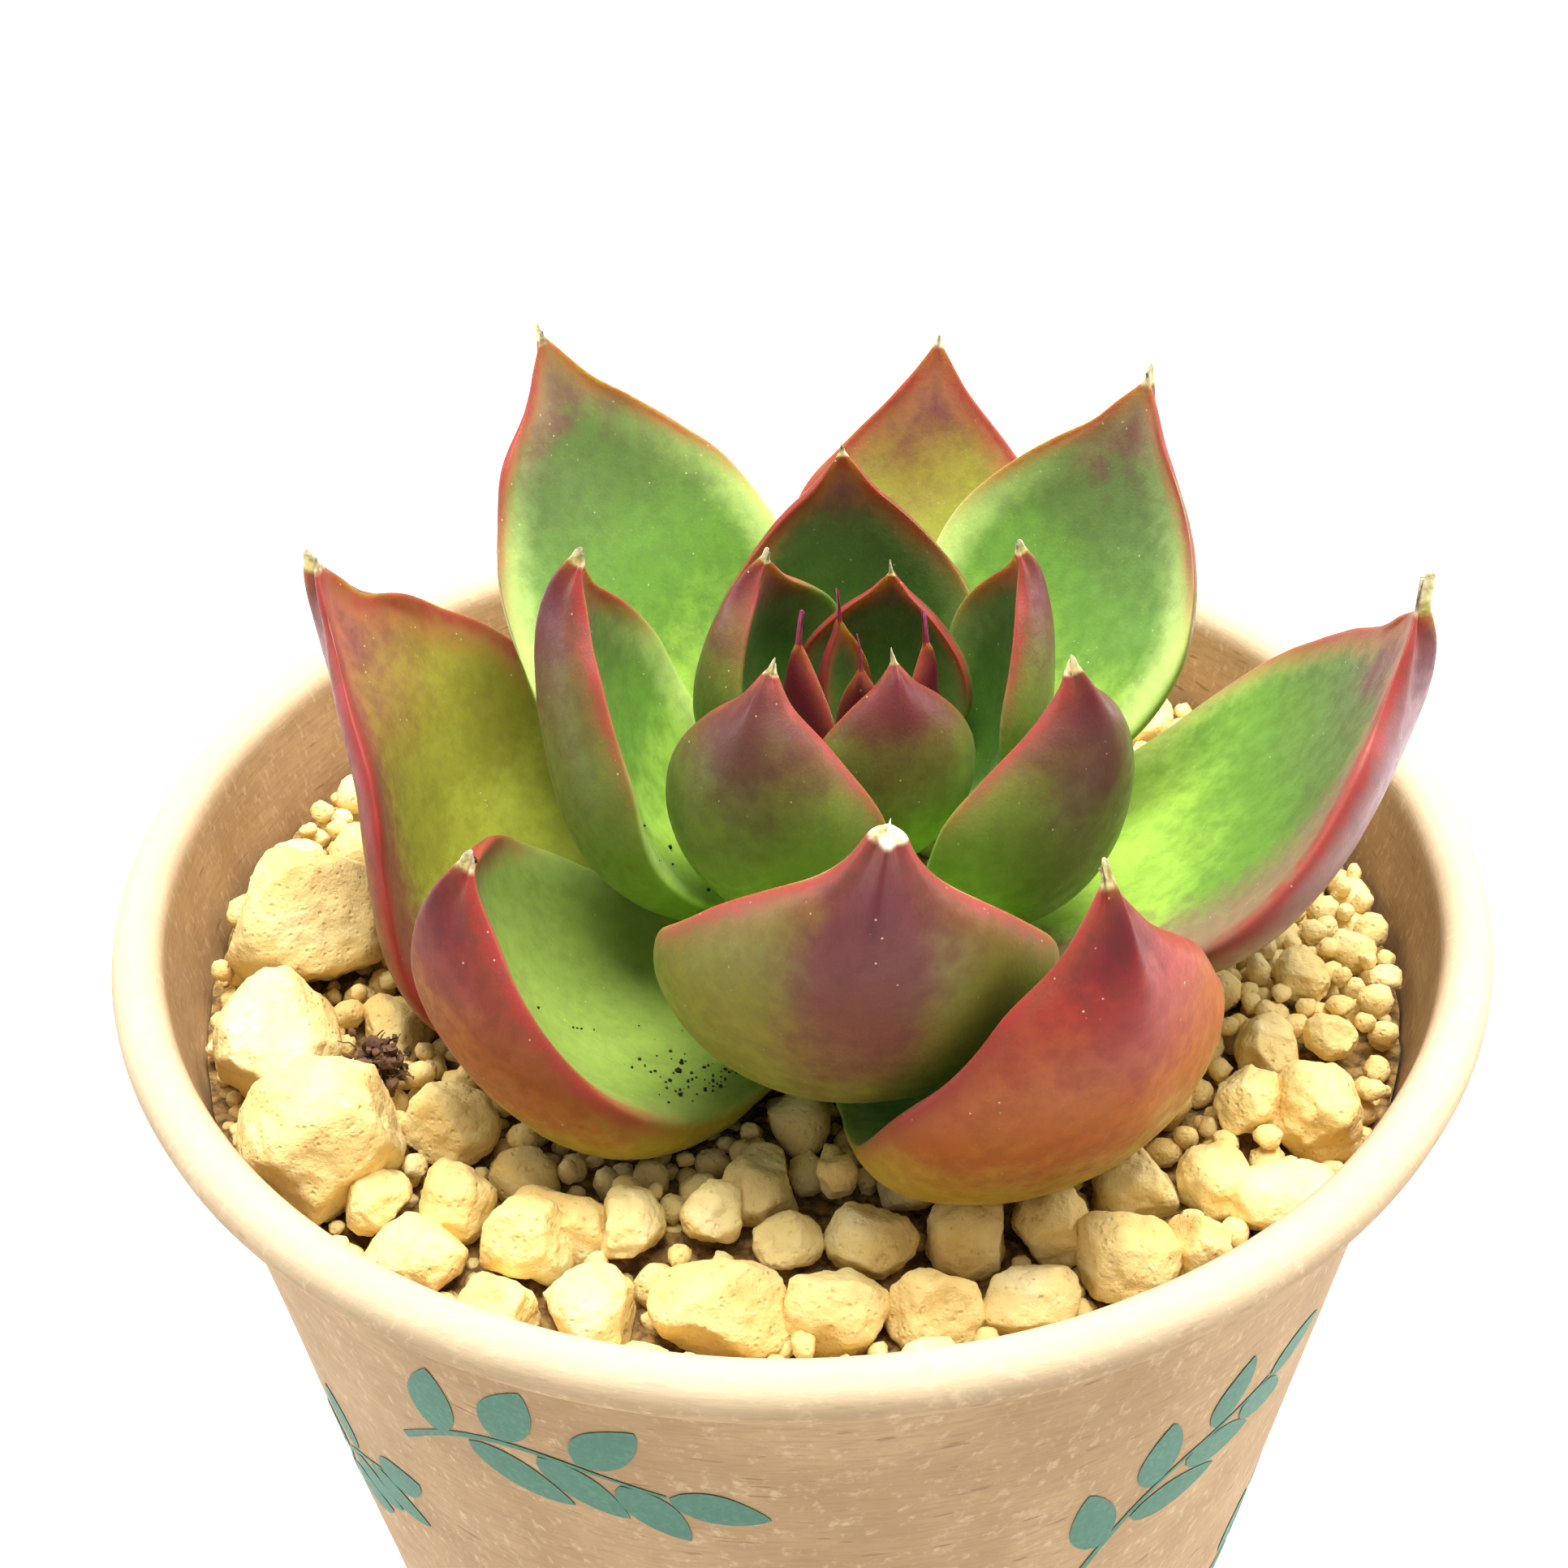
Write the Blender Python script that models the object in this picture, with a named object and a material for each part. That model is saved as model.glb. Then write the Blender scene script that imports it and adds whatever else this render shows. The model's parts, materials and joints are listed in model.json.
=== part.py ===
"""Potted succulent: a pointed-leaf rosette in pumice grit, planted in a rolled-rim paper cup.

Metres, +Z up. The origin is the middle of the cup's foot, which stands on z = 0, and the cup's
axis is Z. The rosette leans on its own upright axis, a little to the +X side of the cup's.
"""
import math

import bmesh
import bpy
import numpy as np
from mathutils import Vector, noise
from mathutils.bvhtree import BVHTree

for old in list(bpy.data.objects):
    bpy.data.objects.remove(old, do_unlink=True)

MM = 0.001
GAP = 0.3 * MM                    # between any two touching pieces

# ---- driving dimensions ------------------------------------------------------------------
CUP_HEIGHT = 92.0 * MM
RIM_DIAMETER = 80.0 * MM
WALL_TAPER = math.radians(7.4)
BOARD = 0.45 * MM                 # thickness of the paper board
ROLL_RADIUS = 1.45 * MM           # outside of the curled rim
FOOT_FOLD_HEIGHT = 5.5 * MM       # how far the wall is turned up inside the foot
BASE_HEIGHT = 7.1 * MM            # top of the bottom disc
SEAM_AZIMUTH = 168.0              # degrees, where the wall is lapped
SEAM_STEP = 0.3 * MM              # how far the lapped strip stands proud of the wall
ROUND_STEPS = 60

GRIT_BELOW_RIM = 8.0 * MM         # mean level of the pumice, from the rim's top
GRIT_DEPTH = 10.5 * MM            # of the pumice layer, which lies on the soil
GRIT_BUMP = 1.3 * MM              # height of the bumps that the grains make
PLANT_AXIS = (4.0 * MM, 0.0)
LEAF_ABOVE_GRIT = 2.15 * MM       # height of the oldest leaf's attachment over the pumice
LEAF_SPACING = 0.55 * MM          # height between one leaf and the next younger one
LEAF_CLEARANCE = 0.85 * MM        # from the upper face of a leaf to the younger leaf over it
FIRST_AZIMUTH = 168.0             # degrees, the oldest leaf
GOLDEN_TURN = 137.5               # degrees from each leaf to the next
STEM_RADIUS = 4.8 * MM            # at the oldest leaf
STEM_THINNING = 0.18 * MM         # per leaf going up
STEM_CORE = 0.9 * MM              # the stem is this much thinner than where the leaves start
COLLAR_RADIUS = 2.8 * MM          # bare stem in the grit
ROOT_DEPTH = 53.0 * MM            # of the tap root's end, from the pumice's level
SIDE_ROOTS = 6
SIDE_ROOT_LENGTH = 17.0 * MM      # of the longest, and each next one is a millimetre shorter
SIDE_ROOT_RADIUS = 0.95 * MM      # where it leaves the tap root
SIDE_ROOT_DROOP = 6.0 * MM

grit_top = CUP_HEIGHT - GRIT_BELOW_RIM
grit_bottom = grit_top - GRIT_DEPTH
lowest_leaf = grit_top + LEAF_ABOVE_GRIT
roll_centre_r = RIM_DIAMETER / 2 - ROLL_RADIUS
roll_centre_z = CUP_HEIGHT - ROLL_RADIUS
foot_radius = roll_centre_r - ROLL_RADIUS + BOARD - roll_centre_z * math.tan(WALL_TAPER)


def wall_radius(z):
    """Outside of the cup's wall at height z."""
    return foot_radius + z * math.tan(WALL_TAPER)


def bore_radius(z):
    """Inside of the cup's wall at height z."""
    return wall_radius(z) - BOARD


def from_wall(azimuth, inset, above):
    """A point over the pumice: its bearing (deg), distance from the wall and height (mm)."""
    turn = math.radians(azimuth)
    radius = bore_radius(grit_top) - inset * MM
    return Vector((radius * math.cos(turn), radius * math.sin(turn), grit_top + above * MM))


def from_stem(azimuth, reach, above):
    """The same, but by the bearing and distance from the stem, where the leaves start."""
    turn = math.radians(azimuth)
    radius = STEM_RADIUS + reach * MM
    return Vector((PLANT_AXIS[0] + radius * math.cos(turn), PLANT_AXIS[1] + radius * math.sin(turn),
                   grit_top + above * MM))


# ---- materials and objects ---------------------------------------------------------------
def material(name, colour, roughness):
    made = bpy.data.materials.new(name)
    made.use_nodes = True
    shader = made.node_tree.nodes["Principled BSDF"]
    shader.inputs["Base Color"].default_value = (*colour, 1.0)
    shader.inputs["Roughness"].default_value = roughness
    shader.inputs["Metallic"].default_value = 0.0
    return made


kraft_paper = material("kraft_paper", (0.62, 0.45, 0.29), 0.8)
soil_mix = material("soil_mix", (0.06, 0.04, 0.025), 0.95)
pumice = material("pumice", (0.78, 0.60, 0.33), 0.9)
root_bark = material("root_bark", (0.25, 0.16, 0.09), 0.85)
leaf_skin = material("leaf_skin", (0.24, 0.42, 0.10), 0.4)
bud_skin = material("bud_skin", (0.35, 0.04, 0.08), 0.4)


def add_object(name, mesh, finish, smooth=True):
    mesh.materials.append(finish)
    if smooth:
        mesh.shade_smooth()
        mesh.set_sharp_from_angle(angle=math.radians(35))
    made = bpy.data.objects.new(name, mesh)
    bpy.context.scene.collection.objects.link(made)
    return made


def as_cutter(cutter):
    cutter.hide_render = True
    cutter.display_type = "WIRE"
    return cutter


def cut(target, cutter):
    step = target.modifiers.new("cut_" + cutter.name, "BOOLEAN")
    step.operation = "DIFFERENCE"
    step.solver = "EXACT"
    step.object = cutter


def turned(name, profile):
    """A closed (radius, height) outline spun once round Z. Points on the axis become poles."""
    bm = bmesh.new()
    ring = [bm.verts.new((r, 0.0, z)) for r, z in profile]
    edges = [bm.edges.new((a, b)) for a, b in zip(ring, ring[1:] + ring[:1])]
    on_axis = [e for e in edges if max(v.co.x for v in e.verts) < 1e-9]
    bmesh.ops.delete(bm, geom=on_axis, context="EDGES")
    bmesh.ops.spin(bm, geom=bm.verts[:] + bm.edges[:], cent=(0, 0, 0), axis=(0, 0, 1),
                   angle=math.tau, steps=ROUND_STEPS, use_merge=True)
    bmesh.ops.remove_doubles(bm, verts=bm.verts[:], dist=1e-6)
    bmesh.ops.recalc_face_normals(bm, faces=bm.faces[:])
    mesh = bpy.data.meshes.new(name)
    bm.to_mesh(mesh)
    bm.free()
    return mesh


# ---- paper cup: side wall with curled rim and folded foot --------------------------------
def arc(radius, start, end, count):
    """Points of the rim's curl, by angle in degrees about the roll's centre."""
    for step in range(count + 1):
        angle = math.radians(start + (end - start) * step / count)
        yield roll_centre_r + radius * math.cos(angle), roll_centre_z + radius * math.sin(angle)


def cup_sleeve():
    skirt_room = BOARD + 2 * GAP
    outline = [(wall_radius(0), 0.0)]
    outline += arc(ROLL_RADIUS - BOARD, 180, -125, 9)
    outline += arc(ROLL_RADIUS, -125, 180, 10)
    outline += [(bore_radius(BOARD), BOARD),
                (bore_radius(BOARD) - skirt_room, BOARD),
                (bore_radius(FOOT_FOLD_HEIGHT) - skirt_room, FOOT_FOLD_HEIGHT),
                (bore_radius(FOOT_FOLD_HEIGHT) - skirt_room - BOARD, FOOT_FOLD_HEIGHT),
                (bore_radius(0) - skirt_room - BOARD, 0.0)]
    mesh = turned("cup_sleeve", outline)
    lap_wall(mesh)
    return add_object("cup_sleeve", mesh, kraft_paper)


def lap_wall(mesh):
    """The lapped side seam: one strip of the wall stands proud, with a short step beside it."""
    station = 360.0 / ROUND_STEPS
    margin = 0.1 * MM
    for vertex in mesh.vertices:
        x, y, z = vertex.co
        radius = math.hypot(x, y)
        azimuth = math.degrees(math.atan2(y, x)) % 360
        away = azimuth - SEAM_AZIMUTH
        outside = radius > wall_radius(z) - margin and z < roll_centre_z - ROLL_RADIUS
        if abs(away) < 0.6 * station and z > margin and outside:
            radius += SEAM_STEP
        elif 1.4 * station > abs(away) >= 0.6 * station:
            azimuth -= math.copysign(0.45 * station, away)
        turn = math.radians(azimuth)
        vertex.co = (radius * math.cos(turn), radius * math.sin(turn), z)


def cup_base():
    skirt_low = BOARD + GAP
    outline = [(0.0, BASE_HEIGHT),
               (bore_radius(BASE_HEIGHT) - GAP, BASE_HEIGHT),
               (bore_radius(skirt_low) - GAP, skirt_low),
               (bore_radius(skirt_low) - GAP - BOARD, skirt_low),
               (bore_radius(BASE_HEIGHT - BOARD) - GAP - BOARD, BASE_HEIGHT - BOARD),
               (0.0, BASE_HEIGHT - BOARD)]
    return add_object("cup_base", turned("cup_base", outline), kraft_paper)


cup_sleeve()
cup_base()


# ---- leaves ------------------------------------------------------------------------------
# Oldest first. Each row: turn off the golden spiral (deg), length, width (mm), rise at the
# stem, further rise to the tip, cupping of the blade (deg), thickness (mm), twist (deg), and
# how far the tip is swept to the left, seen from the stem (mm).
LEAVES = (
    ("outer", 7, 37.0, 23.5, 13, 64, 21, 4.2, -4, -1.0),
    ("outer", -14, 38.5, 22.0, -8, 118, 26, 5.5, 12, 0.0),
    ("outer", -4, 36.0, 20.0, 17, 51, 21, 4.0, 0, 0.0),
    ("outer", -8, 33.5, 24.0, -16, 118, 33, 6.5, -17, 3.5),
    ("outer", -7, 36.0, 27.0, 9, 72, 10, 5.5, -4, 0.0),
    ("outer", 0, 36.0, 21.5, 32, 42, 21, 4.0, -8, 0.0),
    ("outer", -9.5, 36.0, 21.5, 12, 76, 33, 6.2, 2, 3.0),
    ("outer", -8, 32.0, 21.0, 28, 49, 25, 4.0, 0, 0.0),
    ("middle", -3, 27.0, 17.0, 27, 76, 41, 5.0, -7, 0.0),
    ("middle", -3, 22.5, 15.5, 26, 79, 50, 5.0, -3, 0.0),
    ("middle", -9, 22.5, 17.0, 41, 48, 49, 3.5, -3, 0.0),
    ("middle", -3, 20.5, 14.0, 32, 81, 22, 5.0, 3, 0.0),
    ("inner", -9, 20.0, 13.0, 46, 58, 50, 3.0, 0, 0.0),
    ("inner", -3, 17.5, 12.0, 56, 48, 50, 4.0, -12, 0.0),
    ("inner", -8, 15.0, 10.0, 53, 58, 40, 3.5, 0, 0.0),
    ("inner", 0, 14.0, 12.0, 61, 39, 55, 2.5, 5, 0.0),
    ("bud", 0, 13.0, 5.0, 72, 18, 45, 1.8, 0, 0.0),
    ("bud", 0, 11.5, 4.4, 76, 14, 45, 1.6, 0, 0.0),
    ("bud", 0, 10.5, 3.8, 80, 10, 45, 1.4, 0, 0.0),
    ("bud", 0, 9.5, 3.2, 82, 8, 45, 1.2, 0, 0.0),
)
NECK_SHARE = 0.28                 # width at the stem as a share of the widest
WIDEST_AT = 0.56                  # of the length
POINT_SHAPE = 1.1                 # above 1, the blade is drawn in before its tip
CURL_SHAPE = 1.2                  # above 1, the blade curls more towards its tip
CUPPED_AT_STEM = 0.35             # share of the cupping that the blade starts with
THICK_AT_STEM = 0.5               # share of the thickness that the blade starts with
TAPER_FROM = 0.5                  # of the length left to the tip, where the blade starts to thin
TIP_SHAPE = 0.6                   # below 1, the thinning comes late
SECTION_SHAPE = 0.55              # near 0.5, the underside is a round hump
DEEPEST = 1.1                     # most thickness, as a share of the half width
RING_CROWDING = 1.15              # above 1, the rings stand closer towards the tip
BLADE_RINGS = 13
BLADE_COLUMNS = 7
MIDRIB_STEPS = 8                  # between two rings


def half_width(along, width):
    if along < WIDEST_AT:
        swell = math.sin(along / WIDEST_AT * math.pi / 2)
        return width / 2 * (NECK_SHARE + (1 - NECK_SHARE) * swell)
    past = (along - WIDEST_AT) / (1 - WIDEST_AT)
    return width / 2 * max(math.cos(past * math.pi / 2), 0.0) ** POINT_SHAPE


def blade_depth(along, thick, half):
    body = min(THICK_AT_STEM + 1.3 * along, 1.0)
    taper = min((1 - along) / TAPER_FROM, 1.0) ** TIP_SHAPE
    return min(thick * body * taper, half * DEEPEST)


def blade(order, row):
    """Upper and lower points of one leaf, [ring][column], the outward normals, and the tip."""
    _, off, length, width, rise, curl, cup, thick, twist, sweep = row
    length, width, thick, sweep = length * MM, width * MM, thick * MM, sweep * MM
    turn = math.radians(FIRST_AZIMUTH + GOLDEN_TURN * order + off)
    outward = Vector((math.cos(turn), math.sin(turn), 0.0))
    sideways = Vector((-math.sin(turn), math.cos(turn), 0.0))
    middle = (Vector((*PLANT_AXIS, lowest_leaf + LEAF_SPACING * order))
              + outward * (STEM_RADIUS - STEM_THINNING * order))
    stations = [1 - (1 - ring / BLADE_RINGS) ** RING_CROWDING for ring in range(BLADE_RINGS + 1)]
    upper, lower, under = [], [], []
    for along, next_along in zip(stations, stations[1:]):
        pitch = math.radians(rise + curl * along ** CURL_SHAPE)
        inward = Vector((0, 0, math.cos(pitch))) - outward * math.sin(pitch)
        spin = math.radians(twist) * math.sqrt(along)
        across = sideways * math.cos(spin) + inward * math.sin(spin)
        lift = inward * math.cos(spin) - sideways * math.sin(spin)
        half = half_width(along, width)
        bend = math.radians(cup) * min(CUPPED_AT_STEM + 1.1 * along, 1.0)
        depth = blade_depth(along, thick, half)
        top_row, low_row, out_row = [], [], []
        for column in range(BLADE_COLUMNS):
            u = -math.cos(math.pi * column / (BLADE_COLUMNS - 1))
            angle = u * bend
            top = (middle + across * (half * math.sin(angle) / bend)
                   + lift * (half * (1 - math.cos(angle)) / bend))
            out = across * math.sin(angle) - lift * math.cos(angle)
            top_row.append(top)
            low_row.append(top + out * (depth * max(1 - u * u, 0.0) ** SECTION_SHAPE))
            out_row.append(out)
        upper.append(top_row)
        lower.append(low_row)
        under.append(out_row)
        step = (next_along - along) / MIDRIB_STEPS
        for part in range(MIDRIB_STEPS):
            slope = math.radians(rise + curl * (along + step * (part + 0.5)) ** CURL_SHAPE)
            heading = outward * math.cos(slope) + Vector((0, 0, math.sin(slope)))
            middle = middle + heading * (length * step)
        middle = middle + sideways * (sweep * (next_along ** 2 - along ** 2))
    return upper, lower, under, middle


def blade_mesh(name, upper, lower, tip):
    """A closed leaf: rings of upper then lower points, a pole at the tip, a cap at the stem."""
    bm = bmesh.new()
    rings = []
    for top_row, low_row in zip(upper, lower):
        loop = top_row + low_row[-2:0:-1]
        rings.append([bm.verts.new(point) for point in loop])
    for one, two in zip(rings, rings[1:]):
        for i in range(len(one)):
            j = (i + 1) % len(one)
            bm.faces.new((one[i], one[j], two[j], two[i]))
    point = bm.verts.new(tip)
    last = rings[-1]
    for i in range(len(last)):
        bm.faces.new((last[i], last[(i + 1) % len(last)], point))
    heel = bm.verts.new(sum((v.co for v in rings[0]), Vector()) / len(rings[0]))
    for i in range(len(rings[0])):
        bm.faces.new((rings[0][(i + 1) % len(rings[0])], rings[0][i], heel))
    bmesh.ops.recalc_face_normals(bm, faces=bm.faces[:])
    mesh = bpy.data.meshes.new(name)
    bm.to_mesh(mesh)
    bm.free()
    return mesh


def settle(upper, lower, under, younger):
    """Press an older leaf outwards, column by column, until it clears every younger leaf."""
    reach = 9 * MM
    rounds, settled = 4, 0.05 * MM
    for _ in range(rounds):
        shift = np.zeros((len(upper), BLADE_COLUMNS))
        for ring, row in enumerate(upper):
            for column, top in enumerate(row):
                out = under[ring][column]
                for tree in younger:
                    hit = tree.ray_cast(top + out * reach, -out, reach + LEAF_CLEARANCE)
                    if hit[0] is not None:
                        shift[ring, column] = max(shift[ring, column],
                                                  reach + LEAF_CLEARANCE - hit[3])
        if shift.max() < settled:
            break
        spread = np.pad(shift, 1, mode="edge")
        spread = np.maximum.reduce([spread[a:a + shift.shape[0], b:b + shift.shape[1]]
                                    for a in range(3) for b in range(3)])
        wide = np.pad(spread, 1, mode="edge")
        shift = sum(wide[a:a + shift.shape[0], b:b + shift.shape[1]]
                    for a in range(3) for b in range(3)) / 9
        for ring in range(len(upper)):
            for column in range(BLADE_COLUMNS):
                move = under[ring][column] * float(shift[ring, column])
                upper[ring][column] = upper[ring][column] + move
                lower[ring][column] = lower[ring][column] + move


def surface_tree(mesh):
    bm = bmesh.new()
    bm.from_mesh(mesh)
    tree = BVHTree.FromBMesh(bm)
    bm.free()
    return tree


def leaves():
    """All leaves, youngest first, each older one settled under them. Returns their surfaces."""
    trees = []
    for order in reversed(range(len(LEAVES))):
        whorl = LEAVES[order][0]
        upper, lower, under, tip = blade(order, LEAVES[order])
        settle(upper, lower, under, trees)
        name = "leaf_%s_%d" % (whorl, 1 + sum(row[0] == whorl for row in LEAVES[:order]))
        mesh = blade_mesh(name, upper, lower, tip)
        add_object(name, mesh, bud_skin if whorl == "bud" else leaf_skin)
        trees.append(surface_tree(mesh))
    return trees


resting_on_grit = leaves()


# ---- stem and roots, grown in one piece --------------------------------------------------
STEM_SIDES = 16
ROOT_SIDES = 8


def tube(name, centres, radii, sides, beside):
    """A closed tapering tube along a line of points. beside is an axis that the line never nears."""
    bm = bmesh.new()
    rings = []
    for index, centre in enumerate(centres):
        before = centres[max(index - 1, 0)]
        after = centres[min(index + 1, len(centres) - 1)]
        first = (after - before).cross(beside).normalized() * radii[index]
        second = (after - before).cross(first).normalized() * radii[index]
        turns = [math.tau * side / sides for side in range(sides)]
        rings.append([bm.verts.new(centre + first * math.cos(turn) + second * math.sin(turn))
                      for turn in turns])
    for one, two in zip(rings, rings[1:]):
        for i in range(sides):
            bm.faces.new((one[i], one[(i + 1) % sides], two[(i + 1) % sides], two[i]))
    bm.faces.new(rings[0])
    bm.faces.new(rings[-1])
    bmesh.ops.recalc_face_normals(bm, faces=bm.faces[:])
    mesh = bpy.data.meshes.new(name)
    bm.to_mesh(mesh)
    bm.free()
    return mesh


def stem_line():
    """Centres and radii of the stem, from the growing point down to the tap root's end."""
    collar_below_leaf = 3 * MM
    waviness = 3 * MM
    top = len(LEAVES) - 1
    centres, radii = [], []
    for order in range(top, -1, -4):
        centres.append(Vector((*PLANT_AXIS, lowest_leaf + LEAF_SPACING * order)))
        radii.append(STEM_RADIUS - STEM_THINNING * order - STEM_CORE)
    collar = lowest_leaf - collar_below_leaf
    for share in (0.0, 0.2, 0.4, 0.6, 0.8, 1.0):
        height = collar + (grit_top - ROOT_DEPTH - collar) * share
        drift = waviness * math.sin(3 * share) * share
        centres.append(Vector((PLANT_AXIS[0] - drift, PLANT_AXIS[1] + drift / 2, height)))
        radii.append(COLLAR_RADIUS * (1 - 0.75 * share))
    return centres, radii


def side_root_line(index):
    """Centres and radii of one side root, which leaves the tap root and droops outwards."""
    steps = 5
    trunk, _ = stem_line()
    start = trunk[-5].lerp(trunk[-2], index / SIDE_ROOTS)
    turn = math.radians(GOLDEN_TURN * index)
    reach = SIDE_ROOT_LENGTH - index * MM
    centres, radii = [], []
    for step in range(steps + 1):
        share = step / steps
        bend = turn + 0.5 * math.sin(2.5 * share + index)
        centres.append(start + Vector((math.cos(bend) * reach * share,
                                       math.sin(bend) * reach * share,
                                       -SIDE_ROOT_DROOP * share ** 2)))
        radii.append(SIDE_ROOT_RADIUS * (1 - 0.63 * share))
    return centres, radii


def stem_and_roots():
    """The plant's stem with its roots, and copies of them a gap larger to cut the soil with."""
    upright, sideways = Vector((0, 0, 1)), Vector((1, 0, 0))
    lines = [(*stem_line(), STEM_SIDES, sideways)]
    lines += [(*side_root_line(index), ROOT_SIDES, upright) for index in range(SIDE_ROOTS)]
    body = add_object("stem_and_roots", tube("stem_and_roots", *lines[0]), root_bark)
    room = []
    for index, (centres, radii, sides, beside) in enumerate(lines):
        if index:
            name = "root_%d" % index
            root = as_cutter(add_object(name, tube(name, centres, radii, sides, beside), root_bark))
            join = body.modifiers.new("join_" + name, "BOOLEAN")
            join.operation = "UNION"
            join.solver = "EXACT"
            join.object = root
        wide = [radius + 1.5 * GAP for radius in radii]
        onward = centres[-1] + (centres[-1] - centres[-2]).normalized() * 2 * GAP
        name = "root_room_%d" % index
        mesh = tube(name, centres[:-1] + [onward], wide, sides, beside)
        room.append(as_cutter(add_object(name, mesh, root_bark)))
    return room


root_room = stem_and_roots()


# ---- soil under the grit -----------------------------------------------------------------
def potting_soil():
    low, high = BASE_HEIGHT + GAP, grit_bottom - GAP
    outline = [(0.0, high), (bore_radius(high) - GAP, high),
               (bore_radius(low) - GAP, low), (0.0, low)]
    soil = add_object("potting_soil", turned("potting_soil", outline), soil_mix)
    for hole in root_room:
        cut(soil, hole)


potting_soil()


# ---- pumice: the larger stones, and the bed of grains between them -----------------------
# Each stone: what it lies beside, with its bearing (deg), its centre's distance from that and
# its height over the grit (mm), its half sizes (mm), and how far it is turned about Z (deg).
STONES = (
    (from_wall, 181.5, 6.6, 3.8, 5.0, 4.3, 4.6, 20),
    (from_wall, 198.8, 4.6, 2.6, 4.6, 3.4, 3.6, 75),
    (from_wall, 215.9, 4.2, 3.4, 4.5, 4.3, 4.4, 40),
    (from_stem, 193.6, 24.0, -0.5, 2.3, 2.6, 2.2, 0),
    (from_stem, 213.4, 23.6, 0.8, 2.7, 2.2, 2.5, 10),
    (from_wall, 261.2, 6.9, 1.2, 3.7, 2.6, 2.6, 5),
    (from_stem, 232.7, 23.6, 0.3, 3.2, 2.3, 2.3, 15),
    (from_wall, 231.0, 3.8, 1.0, 2.9, 2.2, 2.1, 20),
    (from_wall, 302.0, 4.9, 1.2, 2.7, 2.5, 2.3, 0),
    (from_wall, 330.1, 3.7, 1.3, 2.5, 2.4, 2.7, 30),
    (from_wall, 43.5, 4.3, 1.4, 3.2, 2.6, 2.5, 50),
    (from_wall, 115.8, 4.0, 1.4, 3.4, 2.6, 2.6, 10),
)
STONE_ROUGHNESS = 0.09            # of its size
ROOTLET_PLACE = (203.9, 25.8, 2.6)    # from the stem
ROOTLET_SIZE = (1.2, 1.4, 0.9)
ROOTLET_ROUGHNESS = 0.25


def lump(name, finish, centre, half_sizes, turn, roughness, grain, seed):
    """A rough ball pressed to three half sizes (mm) and turned about Z (deg)."""
    bm = bmesh.new()
    bmesh.ops.create_icosphere(bm, subdivisions=2, radius=1.0)
    spin = math.radians(turn)
    for vertex in bm.verts:
        swell = 1 + roughness * noise.noise(vertex.co * grain + seed)
        px, py, pz = (MM * size * value for size, value in zip(half_sizes, vertex.co * swell))
        vertex.co = centre + Vector((px * math.cos(spin) - py * math.sin(spin),
                                     px * math.sin(spin) + py * math.cos(spin), pz))
    mesh = bpy.data.meshes.new(name)
    bm.to_mesh(mesh)
    bm.free()
    add_object(name, mesh, finish)
    resting_on_grit.append(surface_tree(mesh))


def pumice_stones():
    for index, (beside, azimuth, away, above, a, b, c, turn) in enumerate(STONES):
        lump("pumice_stone_%d" % (index + 1), pumice, beside(azimuth, away, above), (a, b, c),
             turn, STONE_ROUGHNESS, 1.3, Vector((index * 7, 0, 3)))


def dry_rootlet():
    """A knot of dead surface root that lies on the grit beside the lowest leaf."""
    lump("dry_rootlet", root_bark, from_stem(*ROOTLET_PLACE), ROOTLET_SIZE, 0, ROOTLET_ROUGHNESS,
         2.1, Vector())


GRIT_RING_STEP = 2.7 * MM         # between the bed's rings of points
GRAIN_WAVES = 260                 # per metre, and half as high at twice as many
SINK = 4 * GAP                    # of the bed under what rests on it
THINNEST_BED = 1.5 * MM


def room_above(x, y):
    """Height of the lowest leaf or stone over a point of the bed, or infinity."""
    hits = [tree.ray_cast(Vector((x, y, grit_bottom)), Vector((0, 0, 1)))[0]
            for tree in resting_on_grit]
    return min([hit.z for hit in hits if hit is not None], default=math.inf)


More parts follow.
